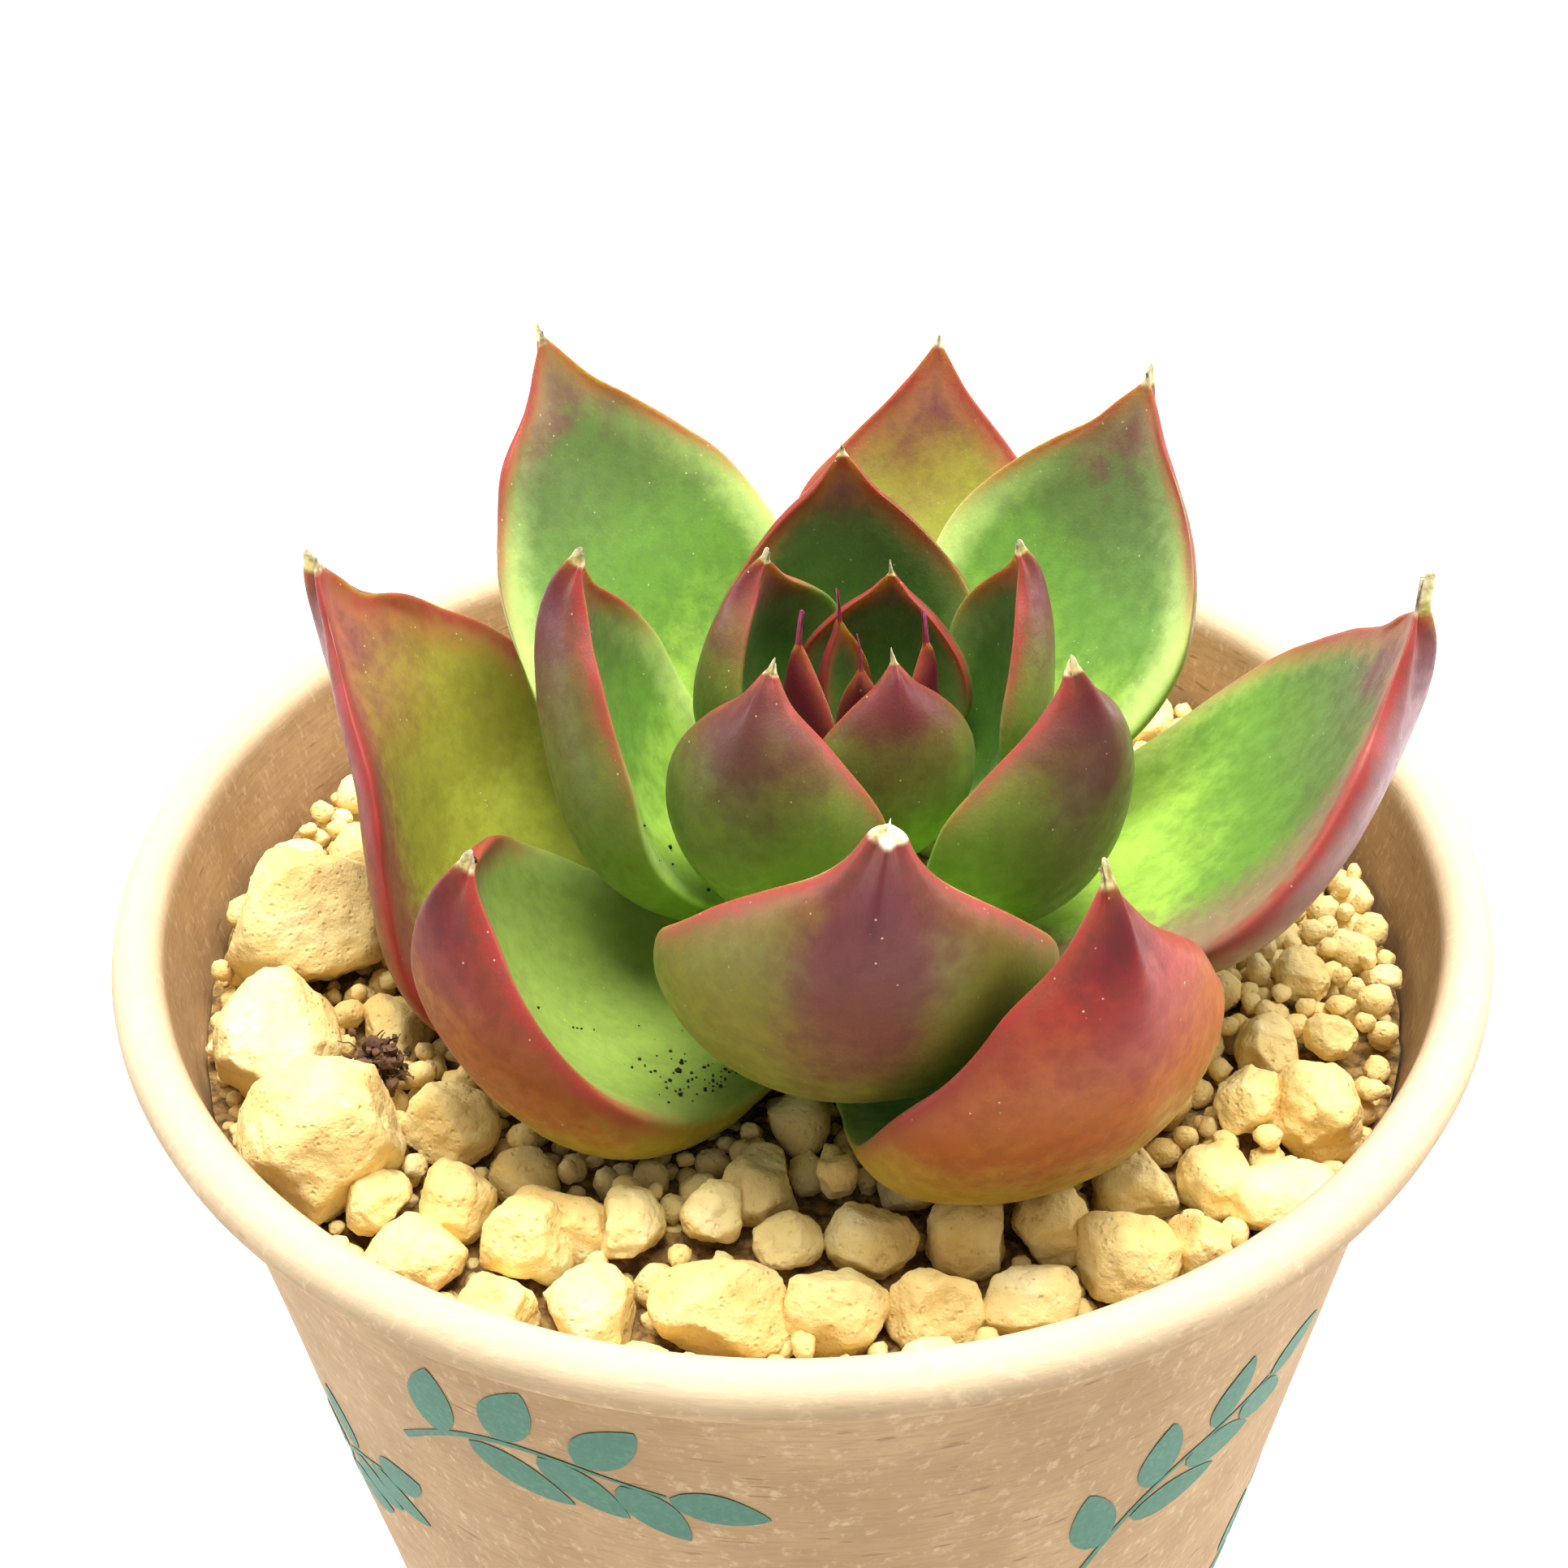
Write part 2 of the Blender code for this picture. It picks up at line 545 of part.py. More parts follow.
def grit_bed():
    """The bed of grains: bumpy where it is open, and sunk under every leaf and stone."""
    outer = bore_radius(grit_bottom) - GAP
    last = round(outer / GRIT_RING_STEP)
    spots, above = {}, {}
    for ring in range(last + 1):
        for step in range(ROUND_STEPS):
            turn = math.tau * step / ROUND_STEPS
            radius = outer * ring / last
            spots[ring, step] = (radius * math.cos(turn), radius * math.sin(turn))
            above[ring, step] = room_above(*spots[ring, step])
    heights = {}
    for ring, step in spots:
        x, y = spots[ring, step]
        near = [above[min(a, last), b % ROUND_STEPS] for a in (abs(ring - 1), ring, ring + 1)
                for b in (step - 1, step, step + 1)]
        bump = (noise.noise(Vector((x, y, 0)) * GRAIN_WAVES)
                + 0.5 * noise.noise(Vector((x, y, 4)) * 2 * GRAIN_WAVES))
        open_height = grit_top + GRIT_BUMP * bump
        sunk_height = max(min(near) - SINK, grit_bottom + THINNEST_BED)
        heights[ring, step] = min(open_height, sunk_height)
    bm = bmesh.new()
    middle = bm.verts.new((0.0, 0.0, heights[0, 0]))
    grid = {}
    for ring, step in spots:
        if ring > 0:
            x, y = spots[ring, step]
            height = heights[ring, step]
            grow = (bore_radius(height) - GAP) / outer if ring == last else 1.0
            grid[ring, step] = bm.verts.new((x * grow, y * grow, height))
    foot = [bm.verts.new((*spots[last, step], grit_bottom)) for step in range(ROUND_STEPS)]
    for step in range(ROUND_STEPS):
        after = (step + 1) % ROUND_STEPS
        bm.faces.new((middle, grid[1, step], grid[1, after]))
        for ring in range(1, last):
            bm.faces.new((grid[ring, step], grid[ring + 1, step],
                          grid[ring + 1, after], grid[ring, after]))
        bm.faces.new((grid[last, step], foot[step], foot[after], grid[last, after]))
    bm.faces.new(foot)
    bmesh.ops.recalc_face_normals(bm, faces=bm.faces[:])
    mesh = bpy.data.meshes.new("grit_bed")
    bm.to_mesh(mesh)
    bm.free()
    bed = add_object("grit_bed", mesh, pumice, smooth=False)
    cut(bed, root_room[0])


pumice_stones()
dry_rootlet()
grit_bed()
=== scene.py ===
"""Looks of the potted succulent: a leaf rosette in pumice grit, planted in a kraft paper cup."""

import json
import math
import random

import bmesh
import bpy
import numpy as np
from mathutils import Matrix, Vector, noise
from mathutils.bvhtree import BVHTree
from mathutils.kdtree import KDTree

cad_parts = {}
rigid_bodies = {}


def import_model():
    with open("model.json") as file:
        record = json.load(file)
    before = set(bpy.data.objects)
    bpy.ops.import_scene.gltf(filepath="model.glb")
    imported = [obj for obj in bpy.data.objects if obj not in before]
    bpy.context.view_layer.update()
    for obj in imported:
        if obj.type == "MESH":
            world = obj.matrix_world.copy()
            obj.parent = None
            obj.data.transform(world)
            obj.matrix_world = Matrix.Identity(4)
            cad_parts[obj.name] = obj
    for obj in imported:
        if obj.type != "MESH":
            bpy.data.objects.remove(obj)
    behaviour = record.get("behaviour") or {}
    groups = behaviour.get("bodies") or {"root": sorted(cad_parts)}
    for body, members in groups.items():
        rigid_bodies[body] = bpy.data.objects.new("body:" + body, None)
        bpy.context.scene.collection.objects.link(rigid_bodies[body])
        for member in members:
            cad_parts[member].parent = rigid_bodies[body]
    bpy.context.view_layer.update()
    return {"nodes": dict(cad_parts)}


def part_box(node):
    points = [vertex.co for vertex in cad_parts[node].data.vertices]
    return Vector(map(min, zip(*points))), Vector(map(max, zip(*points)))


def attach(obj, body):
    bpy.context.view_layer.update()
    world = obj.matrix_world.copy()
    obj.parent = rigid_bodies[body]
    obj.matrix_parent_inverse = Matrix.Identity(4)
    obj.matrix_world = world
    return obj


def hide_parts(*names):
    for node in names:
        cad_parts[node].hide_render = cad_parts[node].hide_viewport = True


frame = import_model()
MM = 0.001


# ---- cup wall ----------------------------------------------------------------------------
# The cup's side wall is one fan of uncoated kraft paper board, lapped and glued in a seam.
# Its top edge is curled outwards and down into the rim, and its foot is turned up inside.
BOARD = 0.45 * MM
ROLL_RADIUS = 1.45 * MM
WALL_TAPER = math.radians(7.4)
FOLD_HEIGHT = 5.5 * MM
FOLD_ROOM = 1.05 * MM             # the folded foot leaves this much for the base's skirt
SEAM_AZIMUTH = math.radians(168)
SEAM_HALF_ANGLE = math.radians(3.7)
SEAM_PROUD = 0.25 * MM
CUP_SIDES = 240
WALL_STEPS = 24
CURL_STEPS = 18
CURL_TURN = 305                   # degrees, from the wall over the top and back under
CURL_START = 0.4 * MM             # the wall ends this far below the middle of the curl
WALL_DENTS = ((45, 0.12), (140, 0.05))

cup_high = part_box("cup_sleeve")[1]
roll_centre_r = cup_high.x - ROLL_RADIUS
roll_centre_z = cup_high.z - ROLL_RADIUS
foot_radius = roll_centre_r - ROLL_RADIUS + BOARD - roll_centre_z * math.tan(WALL_TAPER)


def wall_radius(z):
    """Outside of the cup's wall at height z."""
    return foot_radius + z * math.tan(WALL_TAPER)


def bore_radius(z):
    """Inside of the cup's wall at height z."""
    return wall_radius(z) - BOARD


def select_only(*pieces):
    """Leave edit mode, and select these pieces and nothing else, with the first one active."""
    if bpy.context.object and bpy.context.object.mode == "EDIT":
        bpy.ops.object.mode_set(mode="OBJECT")
    bpy.ops.object.select_all(action="DESELECT")
    for piece in pieces:
        piece.select_set(True)
    if pieces:
        bpy.context.view_layer.objects.active = pieces[0]


def start(add, **size):
    """Add a primitive on its own, and return it in edit mode, selected all over."""
    select_only()
    add(**size)
    bpy.ops.object.mode_set(mode="EDIT")
    bpy.ops.mesh.select_all(action="SELECT")
    return bpy.context.object


def face_out():
    """Turn all faces of the piece in edit mode outwards, and leave edit mode."""
    bpy.ops.mesh.select_all(action="SELECT")
    bpy.ops.mesh.normals_make_consistent(inside=False)
    bpy.ops.object.mode_set(mode="OBJECT")


def apply_modifiers(piece):
    select_only(piece)
    for step in list(piece.modifiers):
        bpy.ops.object.modifier_apply(modifier=step.name)


def settle_piece(piece, name, finish, smooth_angle=180):
    """Name a finished piece, put its place into its mesh, and give it its material and body."""
    select_only(piece)
    bpy.ops.object.transform_apply(location=True, rotation=True, scale=True)
    apply_modifiers(piece)
    piece.name = piece.data.name = name
    piece.data.materials.clear()
    piece.data.materials.append(finish)
    bpy.ops.object.shade_smooth_by_angle(angle=math.radians(smooth_angle))
    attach(piece, "root")
    return piece


def paint(code):
    """A linear colour from its usual hexadecimal code."""
    parts = [int(code[i:i + 2], 16) / 255 for i in (1, 3, 5)]
    return tuple(p / 12.92 if p <= 0.04045 else ((p + 0.055) / 1.055) ** 2.4 for p in parts) + (1.0,)


class Finish:
    """A material under construction: its node tree, and short ways to add nodes to it."""

    def __init__(self, name, roughness, **sockets):
        self.material = bpy.data.materials.new(name)
        self.material.use_nodes = True
        self.tree = self.material.node_tree
        self.shader = self.tree.nodes["Principled BSDF"]
        self.shader.inputs["Roughness"].default_value = roughness
        for socket, value in sockets.items():
            self.shader.inputs[socket.replace("_", " ")].default_value = value
        self.place = self.tree.nodes.new("ShaderNodeTexCoord").outputs["Object"]

    def link(self, source, socket):
        self.tree.links.new(source, socket)

    def height(self):
        """Height on the piece, in metres."""
        node = self.tree.nodes.new("ShaderNodeSeparateXYZ")
        self.link(self.place, node.inputs["Vector"])
        return node.outputs["Z"]

    def put(self, value, socket):
        """Link a node's output to a socket, or set the socket to a plain value."""
        if isinstance(value, bpy.types.NodeSocket):
            self.link(value, socket)
        else:
            socket.default_value = value

    def stretched(self, scale, turn=(0, 0, 0)):
        """The place on the piece, scaled and turned, for a pattern that has a grain."""
        node = self.tree.nodes.new("ShaderNodeMapping")
        node.inputs["Scale"].default_value = scale
        node.inputs["Rotation"].default_value = turn
        self.link(self.place, node.inputs["Vector"])
        return node.outputs["Vector"]

    def noise(self, per_metre, detail=3.0, rough=0.55, place=None):
        node = self.tree.nodes.new("ShaderNodeTexNoise")
        node.inputs["Scale"].default_value = per_metre
        node.inputs["Detail"].default_value = detail
        node.inputs["Roughness"].default_value = rough
        self.link(place or self.place, node.inputs["Vector"])
        return node.outputs["Fac"]

    def cells(self, per_metre):
        """Distance from the middle of the nearest of many scattered cells."""
        node = self.tree.nodes.new("ShaderNodeTexVoronoi")
        node.inputs["Scale"].default_value = per_metre
        self.link(self.place, node.inputs["Vector"])
        return node.outputs["Distance"]

    def span(self, value, low, high, out_low=0.0, out_high=1.0, soft=True):
        """Map low..high to out_low..out_high, clamped."""
        node = self.tree.nodes.new("ShaderNodeMapRange")
        node.interpolation_type = "SMOOTHSTEP" if soft else "LINEAR"
        self.put(value, node.inputs["Value"])
        for key, number in zip(("From Min", "From Max", "To Min", "To Max"),
                               (low, high, out_low, out_high)):
            node.inputs[key].default_value = number
        return node.outputs["Result"]

    def math(self, operation, one, two=0.0):
        node = self.tree.nodes.new("ShaderNodeMath")
        node.operation = operation
        self.put(one, node.inputs[0])
        self.put(two, node.inputs[1])
        return node.outputs["Value"]

    def mix(self, factor, one, two, blend="MIX"):
        node = self.tree.nodes.new("ShaderNodeMix")
        node.data_type = "RGBA"
        node.blend_type = blend
        self.put(factor, node.inputs[0])
        self.put(one, node.inputs[6])
        self.put(two, node.inputs[7])
        return node.outputs[2]

    def ramp(self, value, *stops):
        """Stops are (position, colour code)."""
        node = self.tree.nodes.new("ShaderNodeValToRGB")
        node.color_ramp.interpolation = "EASE"
        marks = node.color_ramp.elements
        while len(marks) < len(stops):
            marks.new(0.5)
        for mark, (position, code) in zip(marks, stops):
            mark.position = position
            mark.color = paint(code)
        self.put(value, node.inputs["Fac"])
        return node.outputs["Color"]

    def attribute(self, name):
        node = self.tree.nodes.new("ShaderNodeAttribute")
        node.attribute_name = name
        return node.outputs["Fac"]

    def bump(self, height, distance, strength=1.0):
        node = self.tree.nodes.new("ShaderNodeBump")
        node.inputs["Distance"].default_value = distance
        node.inputs["Strength"].default_value = strength
        self.link(height, node.inputs["Height"])
        return node.outputs["Normal"]

    def done(self, colour, normal=None, roughness=None):
        """Join the colour and relief to the shader, and return the material."""
        self.put(colour, self.shader.inputs["Base Color"])
        if normal:
            self.link(normal, self.shader.inputs["Normal"])
        if roughness:
            self.link(roughness, self.shader.inputs["Roughness"])
        return self.material


def kraft_board():
    """Brown unbleached pulp: felted fibres, a few dark shives, a cloudy density, and a top edge
    painted pale, as a painted highlight along the rim and partly as the burnish of its curl."""
    kraft = Finish("kraft_board", 0.82)
    fibres = kraft.noise(1.0, 4.0, 0.7, kraft.stretched((500, 500, 3600)))
    cross_fibres = kraft.noise(1.0, 4.0, 0.7, kraft.stretched((900, 2600, 900), (0.5, 0.9, 0.3)))
    clouds = kraft.noise(130.0, 3.0)
    shives = kraft.noise(1.0, 1.0, 0.5, kraft.stretched((420, 420, 2400), (0.15, 0.1, 0)))
    colour = kraft.ramp(clouds, (0.3, "#977850"), (0.7, "#A98B64"))
    colour = kraft.mix(kraft.span(fibres, 0.38, 0.66, 0.0, 0.5), colour, paint("#8A6C4C"))
    colour = kraft.mix(kraft.span(cross_fibres, 0.52, 0.72, 0.0, 0.5), colour, paint("#C8B08C"))
    colour = kraft.mix(kraft.span(shives, 0.69, 0.75, 0.0, 0.6), colour, paint("#7A5632"))
    # Painted highlight: the curl and the top of the wall are painted pale for the bright light along the
    # rim, and partly for the burnish of the curled board.
    rim_highlight_and_burnish = kraft.span(kraft.height(), roll_centre_z - ROLL_RADIUS / 2, cup_high.z, 0.0, 0.5)
    colour = kraft.mix(rim_highlight_and_burnish, colour, paint("#E6D6B6"))
    felt = kraft.math("ADD", fibres, cross_fibres)
    return kraft.done(colour, kraft.bump(felt, 0.05 * MM, 0.6))


def cup_profile():
    """Radius and height of the middle of the board, from the folded foot up and round the curl."""
    half = BOARD / 2
    inner_fold = bore_radius(FOLD_HEIGHT) - FOLD_ROOM
    points = [(inner_fold - half, FOLD_HEIGHT), (bore_radius(half) - FOLD_ROOM - half, 3 * half),
              (bore_radius(half) - FOLD_ROOM, half), (wall_radius(half) - BOARD, half),
              (wall_radius(3 * half) - half, 3 * half)]
    top = roll_centre_z - CURL_START
    for step in range(1, WALL_STEPS + 1):
        z = 3 * half + (top - 3 * half) * step / WALL_STEPS
        points.append((wall_radius(z) - half, z))
    curl = ROLL_RADIUS - half
    for step in range(CURL_STEPS + 1):
        angle = math.radians(180 - CURL_TURN * step / CURL_STEPS)
        points.append((roll_centre_r + curl * math.cos(angle), roll_centre_z + curl * math.sin(angle)))
    return points


def lumps(point, waves):
    """Height (mm) of a lumpy surface at a point. Each wave is its count per metre and height."""
    return sum(noise.noise(point * per_metre) * height for per_metre, height in waves)


def dented(point):
    """A point of the wall after the board's small dents and waves."""
    return point + Vector((point.x, point.y, 0)).normalized() * lumps(point, WALL_DENTS) * MM


kraft = kraft_board()
outline = cup_profile()
cup_wall = start(bpy.ops.mesh.primitive_circle_add, vertices=CUP_SIDES, radius=outline[0][0],
                 location=(0, 0, outline[0][1]))
for (near_r, near_z), (far_r, far_z) in zip(outline, outline[1:]):
    bpy.ops.mesh.extrude_region_move(TRANSFORM_OT_translate={"value": (0, 0, far_z - near_z)})
    bpy.ops.transform.resize(value=(far_r / near_r, far_r / near_r, 1))
bpy.ops.mesh.select_all(action="DESELECT")
bpy.ops.object.mode_set(mode="OBJECT")
bpy.ops.object.transform_apply()
for vertex in cup_wall.data.vertices:
    away = (math.atan2(vertex.co.y, vertex.co.x) - SEAM_AZIMUTH + math.pi) % math.tau - math.pi
    lapped = abs(away) < SEAM_HALF_ANGLE and 1 * MM < vertex.co.z < roll_centre_z - ROLL_RADIUS
    vertex.select = lapped and math.hypot(vertex.co.x, vertex.co.y) > bore_radius(vertex.co.z)
bpy.ops.object.mode_set(mode="EDIT")
bpy.ops.transform.translate(value=(SEAM_PROUD * math.cos(SEAM_AZIMUTH),
                                   SEAM_PROUD * math.sin(SEAM_AZIMUTH), 0))
face_out()
thickness = cup_wall.modifiers.new("board", "SOLIDIFY")
thickness.thickness = BOARD
thickness.offset = 0.0
apply_modifiers(cup_wall)
for vertex in cup_wall.data.vertices:
    vertex.co = dented(vertex.co)
settle_piece(cup_wall, "cup_wall", kraft, 50)
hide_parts("cup_sleeve")


# ---- cup print ---------------------------------------------------------------------------
# A plain pattern of leafy sprigs is printed on the outside of the cup in one flat teal ink.
# Each leaf and stem is a film of ink on the board, a few hundredths of a millimetre thick.
INK_LIFT = 0.05 * MM              # middle of the film from the board
INK_THICKNESS = 0.02 * MM
SPRIG_LEAF_LENGTH = 7.0 * MM
SPRIG_LEAF_WIDTH = 2.9 * MM
SPRIG_STEM_WIDTH = 0.45 * MM
SPRIG_STEM_LENGTH = 17 * MM
SPRIG_STEM_BOW = 3.2 * MM
# Where each leaf leaves the stem, as a share of the stem, and to which side: 0 is the last one.
SPRIG_LEAVES = ((0.2, 1), (0.34, -1), (0.47, 1), (0.61, -1), (0.74, 1), (0.86, -1), (1.0, 0))
# Each sprig: azimuth and height of its foot on the wall, and the way it grows (degrees).
SPRIGS = (
    (-66, 63.0, 36), (-128, 74.0, 14), (-150, 50.0, 62), (-98, 38.0, 50), (-44, 40.0, 30),
    (-18, 68.0, 55), (12, 46.0, 25), (38, 70.0, 48), (66, 40.0, 60), (92, 68.0, 28),
    (120, 44.0, 44), (136, 69.0, 35), (-172, 71.0, 58), (-176, 26.0, 30), (-122, 18.0, 48),
    (-66, 15.0, 22), (-10, 20.0, 50), (40, 17.0, 30), (96, 18.0, 52), (130, 20.0, 40),
)


def sprig_strip(width_at, path, steps, wide):
    """A flat grid along a path, whose half width follows width_at."""
    strip = start(bpy.ops.mesh.primitive_grid_add, x_subdivisions=steps, y_subdivisions=wide, size=1)
    bpy.ops.object.mode_set(mode="OBJECT")
    for vertex in strip.data.vertices:
        along, across = vertex.co.x + 0.5, vertex.co.y * 2
        x, y, heading = path(along)
        half = width_at(along) * across
        vertex.co = (x - math.sin(heading) * half, y + math.cos(heading) * half, 0)
    return strip


def sprig_stem(along):
    """A point of the stem's middle line, which is a shallow bow, and its heading there."""
    heading = 0.5 - along
    return SPRIG_STEM_LENGTH * along, SPRIG_STEM_BOW * math.sin(math.pi * along), heading


def sprig_leaf(foot, heading, length):
    """The middle line of one leaf of the print, as a path to lay a strip along."""
    def path(along):
        bend = heading + 0.25 * (along - 0.5)
        reach = length * along
        return foot[0] + reach * math.cos(heading), foot[1] + reach * math.sin(heading), bend
    return path


def leaf_outline(along):
    """Half width of a leaf of the print."""
    return SPRIG_LEAF_WIDTH / 2 * max(math.sin(math.pi * along ** 0.8), 0.0) ** 0.75


def joined(parts):
    select_only(*parts)
    bpy.ops.object.join()
    return parts[0]


def model_sprig():
    """One sprig, flat: a bowed stem, three leaves on each side and one at the end."""
    parts = [sprig_strip(lambda along: SPRIG_STEM_WIDTH / 2 * (1.1 - 0.6 * along), sprig_stem, 24, 2)]
    for along, side in SPRIG_LEAVES:
        x, y, heading = sprig_stem(along)
        length = SPRIG_LEAF_LENGTH * (1.0 - 0.25 * along)
        turn = heading + side * 0.85
        gap = 0.5 * MM if side else 0.15 * MM
        foot = (x + gap * math.cos(turn), y + gap * math.sin(turn))
        parts.append(sprig_strip(leaf_outline, sprig_leaf(foot, turn, length), 14, 4))
    return joined(parts)


def wrapped(flat, azimuth, height, grows):
    """Points of the flat sprig laid on the cone of the wall."""
    turn, lean = math.radians(azimuth), math.radians(grows)
    placed = []
    for x, y in flat:
        along_rim = x * math.cos(lean) - y * math.sin(lean)
        z = height * MM + (x * math.sin(lean) + y * math.cos(lean)) * math.cos(WALL_TAPER)
        radius = wall_radius(z) + INK_LIFT
        angle = turn + along_rim / radius
        placed.append(tuple(dented(Vector((radius * math.cos(angle), radius * math.sin(angle), z)))))
    return placed


def teal_ink():
    """Thin matt ink, which lets a little of the board's grain through."""
    ink = Finish("teal_ink", 0.7)
    grain = ink.noise(2600.0, 3.0)
    cover = ink.noise(260.0, 2.0)
    colour = ink.mix(ink.span(grain, 0.4, 0.75, 0.0, 0.35), paint("#2F6652"), paint("#5C8A70"))
    colour = ink.mix(ink.span(cover, 0.35, 0.7, 0.0, 0.3), colour, paint("#285846"))
    return ink.done(colour, ink.bump(grain, 0.02 * MM, 0.5))


sprig = model_sprig()
flat_points = [(vertex.co.x, vertex.co.y) for vertex in sprig.data.vertices]
flat_faces = [tuple(face.vertices) for face in sprig.data.polygons]
print_points, print_faces = [], []
for place in SPRIGS:
    first = len(print_points)
    print_points += wrapped(flat_points, *place)
    print_faces += [tuple(first + index for index in face) for face in flat_faces]
sprig.data.clear_geometry()
sprig.data.from_pydata(print_points, [], print_faces)
film = sprig.modifiers.new("film", "SOLIDIFY")
film.thickness = INK_THICKNESS
film.offset = 0.0
settle_piece(sprig, "cup_print", teal_ink(), 40)


# ---- cup base ----------------------------------------------------------------------------
# The bottom disc is the same board, pressed with a skirt that is gripped by the wall's fold.
# It is the solid of the frame with the board's finish.
def refinish(node, finish):
    bpy.data.objects[node].material_slots[0].material = finish


refinish("cup_base", kraft)


# ---- potting soil and roots --------------------------------------------------------------
# Dark peat and bark mix fills the cup under the grit. The plant's woody stem and its roots
# run down into it; both are the solids of the frame with their own finishes.
def potting_mix():
    soil = Finish("potting_mix", 0.95)
    crumbs = soil.cells(900.0)
    fine = soil.noise(2400.0, 4.0)
    colour = soil.ramp(fine, (0.3, "#20150D"), (0.55, "#3B2818"), (0.8, "#5C452E"))
    rough = soil.math("ADD", crumbs, fine)
    return soil.done(colour, soil.bump(rough, 0.6 * MM))


def root_bark():
    bark = Finish("root_bark", 0.85)
    ridges = bark.noise(1.0, 4.0, 0.6, bark.stretched((1500, 1500, 350)))
    colour = bark.ramp(ridges, (0.3, "#3A281A"), (0.55, "#6A4C32"), (0.75, "#94704E"))
    return bark.done(colour, bark.bump(ridges, 0.3 * MM))


soil_finish = potting_mix()
bark_finish = root_bark()
refinish("potting_soil", soil_finish)
refinish("stem_and_roots", bark_finish)


# ---- pumice grit -------------------------------------------------------------------------
# The top of the cup is filled with loose, cream-yellow pumice that has been broken and tumbled:
# a few large lumps, stones of 3 to 5 mm, and gravel of 1 to 3 mm that runs in between them.
GRIT_FLOOR = 82.5 * MM            # under the loose stones, where only dust and shadow are seen
GRIT_TOPS = 87.3 * MM             # the tops of the loose stones
SMALL_TOPS = GRIT_TOPS + 0.2 * MM  # of the small ones among them
FINE_TOPS = 86.4 * MM             # and of the gravel
CLEAR = 0.15 * MM                 # room round a grain
WALL_ROOM = 1.15                  # a grain's radii from its middle to the wall
TRIES = 14                        # places that are tried for each grain
PATIENCE = 90                     # misses before a fill ends
SHAPES = 9                        # differently broken shapes, used turned and stretched
STONE_OVER_SOLID = 1.02           # a modelled stone over its plain solid
BALL_OF_STONE = 0.47              # radius of the ball that a front stone lies as, over its width
GRAIN_OVER_BALL = 1.04            # a grain over the ball that it fell as
GRAIN_STRETCH = (0.85, 1.2)       # least and most, each way
FRONT_STRETCH = (0.88, 1.26)
STONE_GRAIN = ((380, 0.34), (1100, 0.17), (2600, 0.07))
DUST_LUMPS = ((420, 0.8),)
DUST_GRID = 110
DUST_SINK = 0.6 * MM              # under a leaf or a large stone
# Stones of the front rows, placed singly: x, y and width (mm).
FRONT_STONES = (
    (1.6, -28.9, 5.0), (6.5, -28.8, 4.9), (11.2, -28.4, 4.8), (20.3, -25.7, 4.5), (22.0, -20.6, 4.8),
    (26.5, -11.0, 4.7), (30.4, -10.2, 3.8), (-14.6, -24.6, 4.6), (-15.9, -28.3, 4.5),
    (-11.0, -28.9, 4.7), (-22.8, -21.6, 4.5), (-18.4, -21.6, 4.2), (-9.2, -23.2, 4.6),
    (-5.0, -23.0, 4.3), (-1.0, -24.6, 4.2), (3.4, -24.6, 4.8), (8.4, -24.4, 4.4), (12.9, -23.4, 4.4),
    (17.8, -20.6, 4.7), (25.3, -22.3, 4.8), (29.6, -5.6, 3.3), (24.6, -15.6, 3.9),
    (6.0, -20.6, 4.0), (10.8, -19.4, 3.8), (-2.4, -20.6, 3.8), (1.6, -21.0, 3.4),
)


def two_across(points):
    """The points moved to the middle and scaled to 2 across each way."""
    low, high = points.min(0), points.max(0)
    return (points - (low + high) / 2) / (high - low) * 2


def broken_stone(seed, cuts, fineness):
    """Points and faces of a lump 2 across, broken along flats and tumbled until it is rounded."""
    draw = random.Random(seed)
    stone = start(bpy.ops.mesh.primitive_ico_sphere_add, subdivisions=3, radius=1.0)
    for _ in range(cuts):
        normal = Vector([draw.gauss(0, 1) for _ in range(3)]).normalized()
        bpy.ops.mesh.select_all(action="SELECT")
        bpy.ops.mesh.bisect(plane_co=normal * draw.uniform(0.66, 0.9), plane_no=normal,
                            use_fill=True, clear_outer=True)
    bpy.ops.object.mode_set(mode="OBJECT")
    remesh = stone.modifiers.new("tumble", "REMESH")
    remesh.mode = "VOXEL"
    remesh.voxel_size = fineness
    rounding = stone.modifiers.new("round", "SMOOTH")
    rounding.factor = 0.5
    rounding.iterations = int(0.34 / fineness)
    apply_modifiers(stone)
    points = np.array([vertex.co for vertex in stone.data.vertices])
    faces = [tuple(face.vertices) for face in stone.data.polygons]
    bpy.data.objects.remove(stone, do_unlink=True)
    return two_across(points), faces


def turned_about(points, seed):
    """The shape turned at random, and scaled back to 2 across each way."""
    draw = random.Random(seed)
    axis = Vector([draw.gauss(0, 1) for _ in range(3)]).normalized()
    return two_across(points @ np.array(Matrix.Rotation(draw.uniform(0, math.tau), 3, axis)))


def weathered(points, centre):
    """Pits and bumps of the open grain, in proportion to real millimetres."""
    for index, point in enumerate(points):
        lump = lumps(Vector(point), STONE_GRAIN)
        points[index] += (point - centre) / np.linalg.norm(point - centre) * lump * MM
    return points


def as_piece(name, points, faces, finish, angle=180):
    """A settled piece made of these points and faces."""
    mesh = bpy.data.meshes.new(name)
    mesh.from_pydata([tuple(point) for point in points], [], faces)
    piece = bpy.data.objects.new(name, mesh)
    bpy.context.scene.collection.objects.link(piece)
    return settle_piece(piece, name, finish, angle)


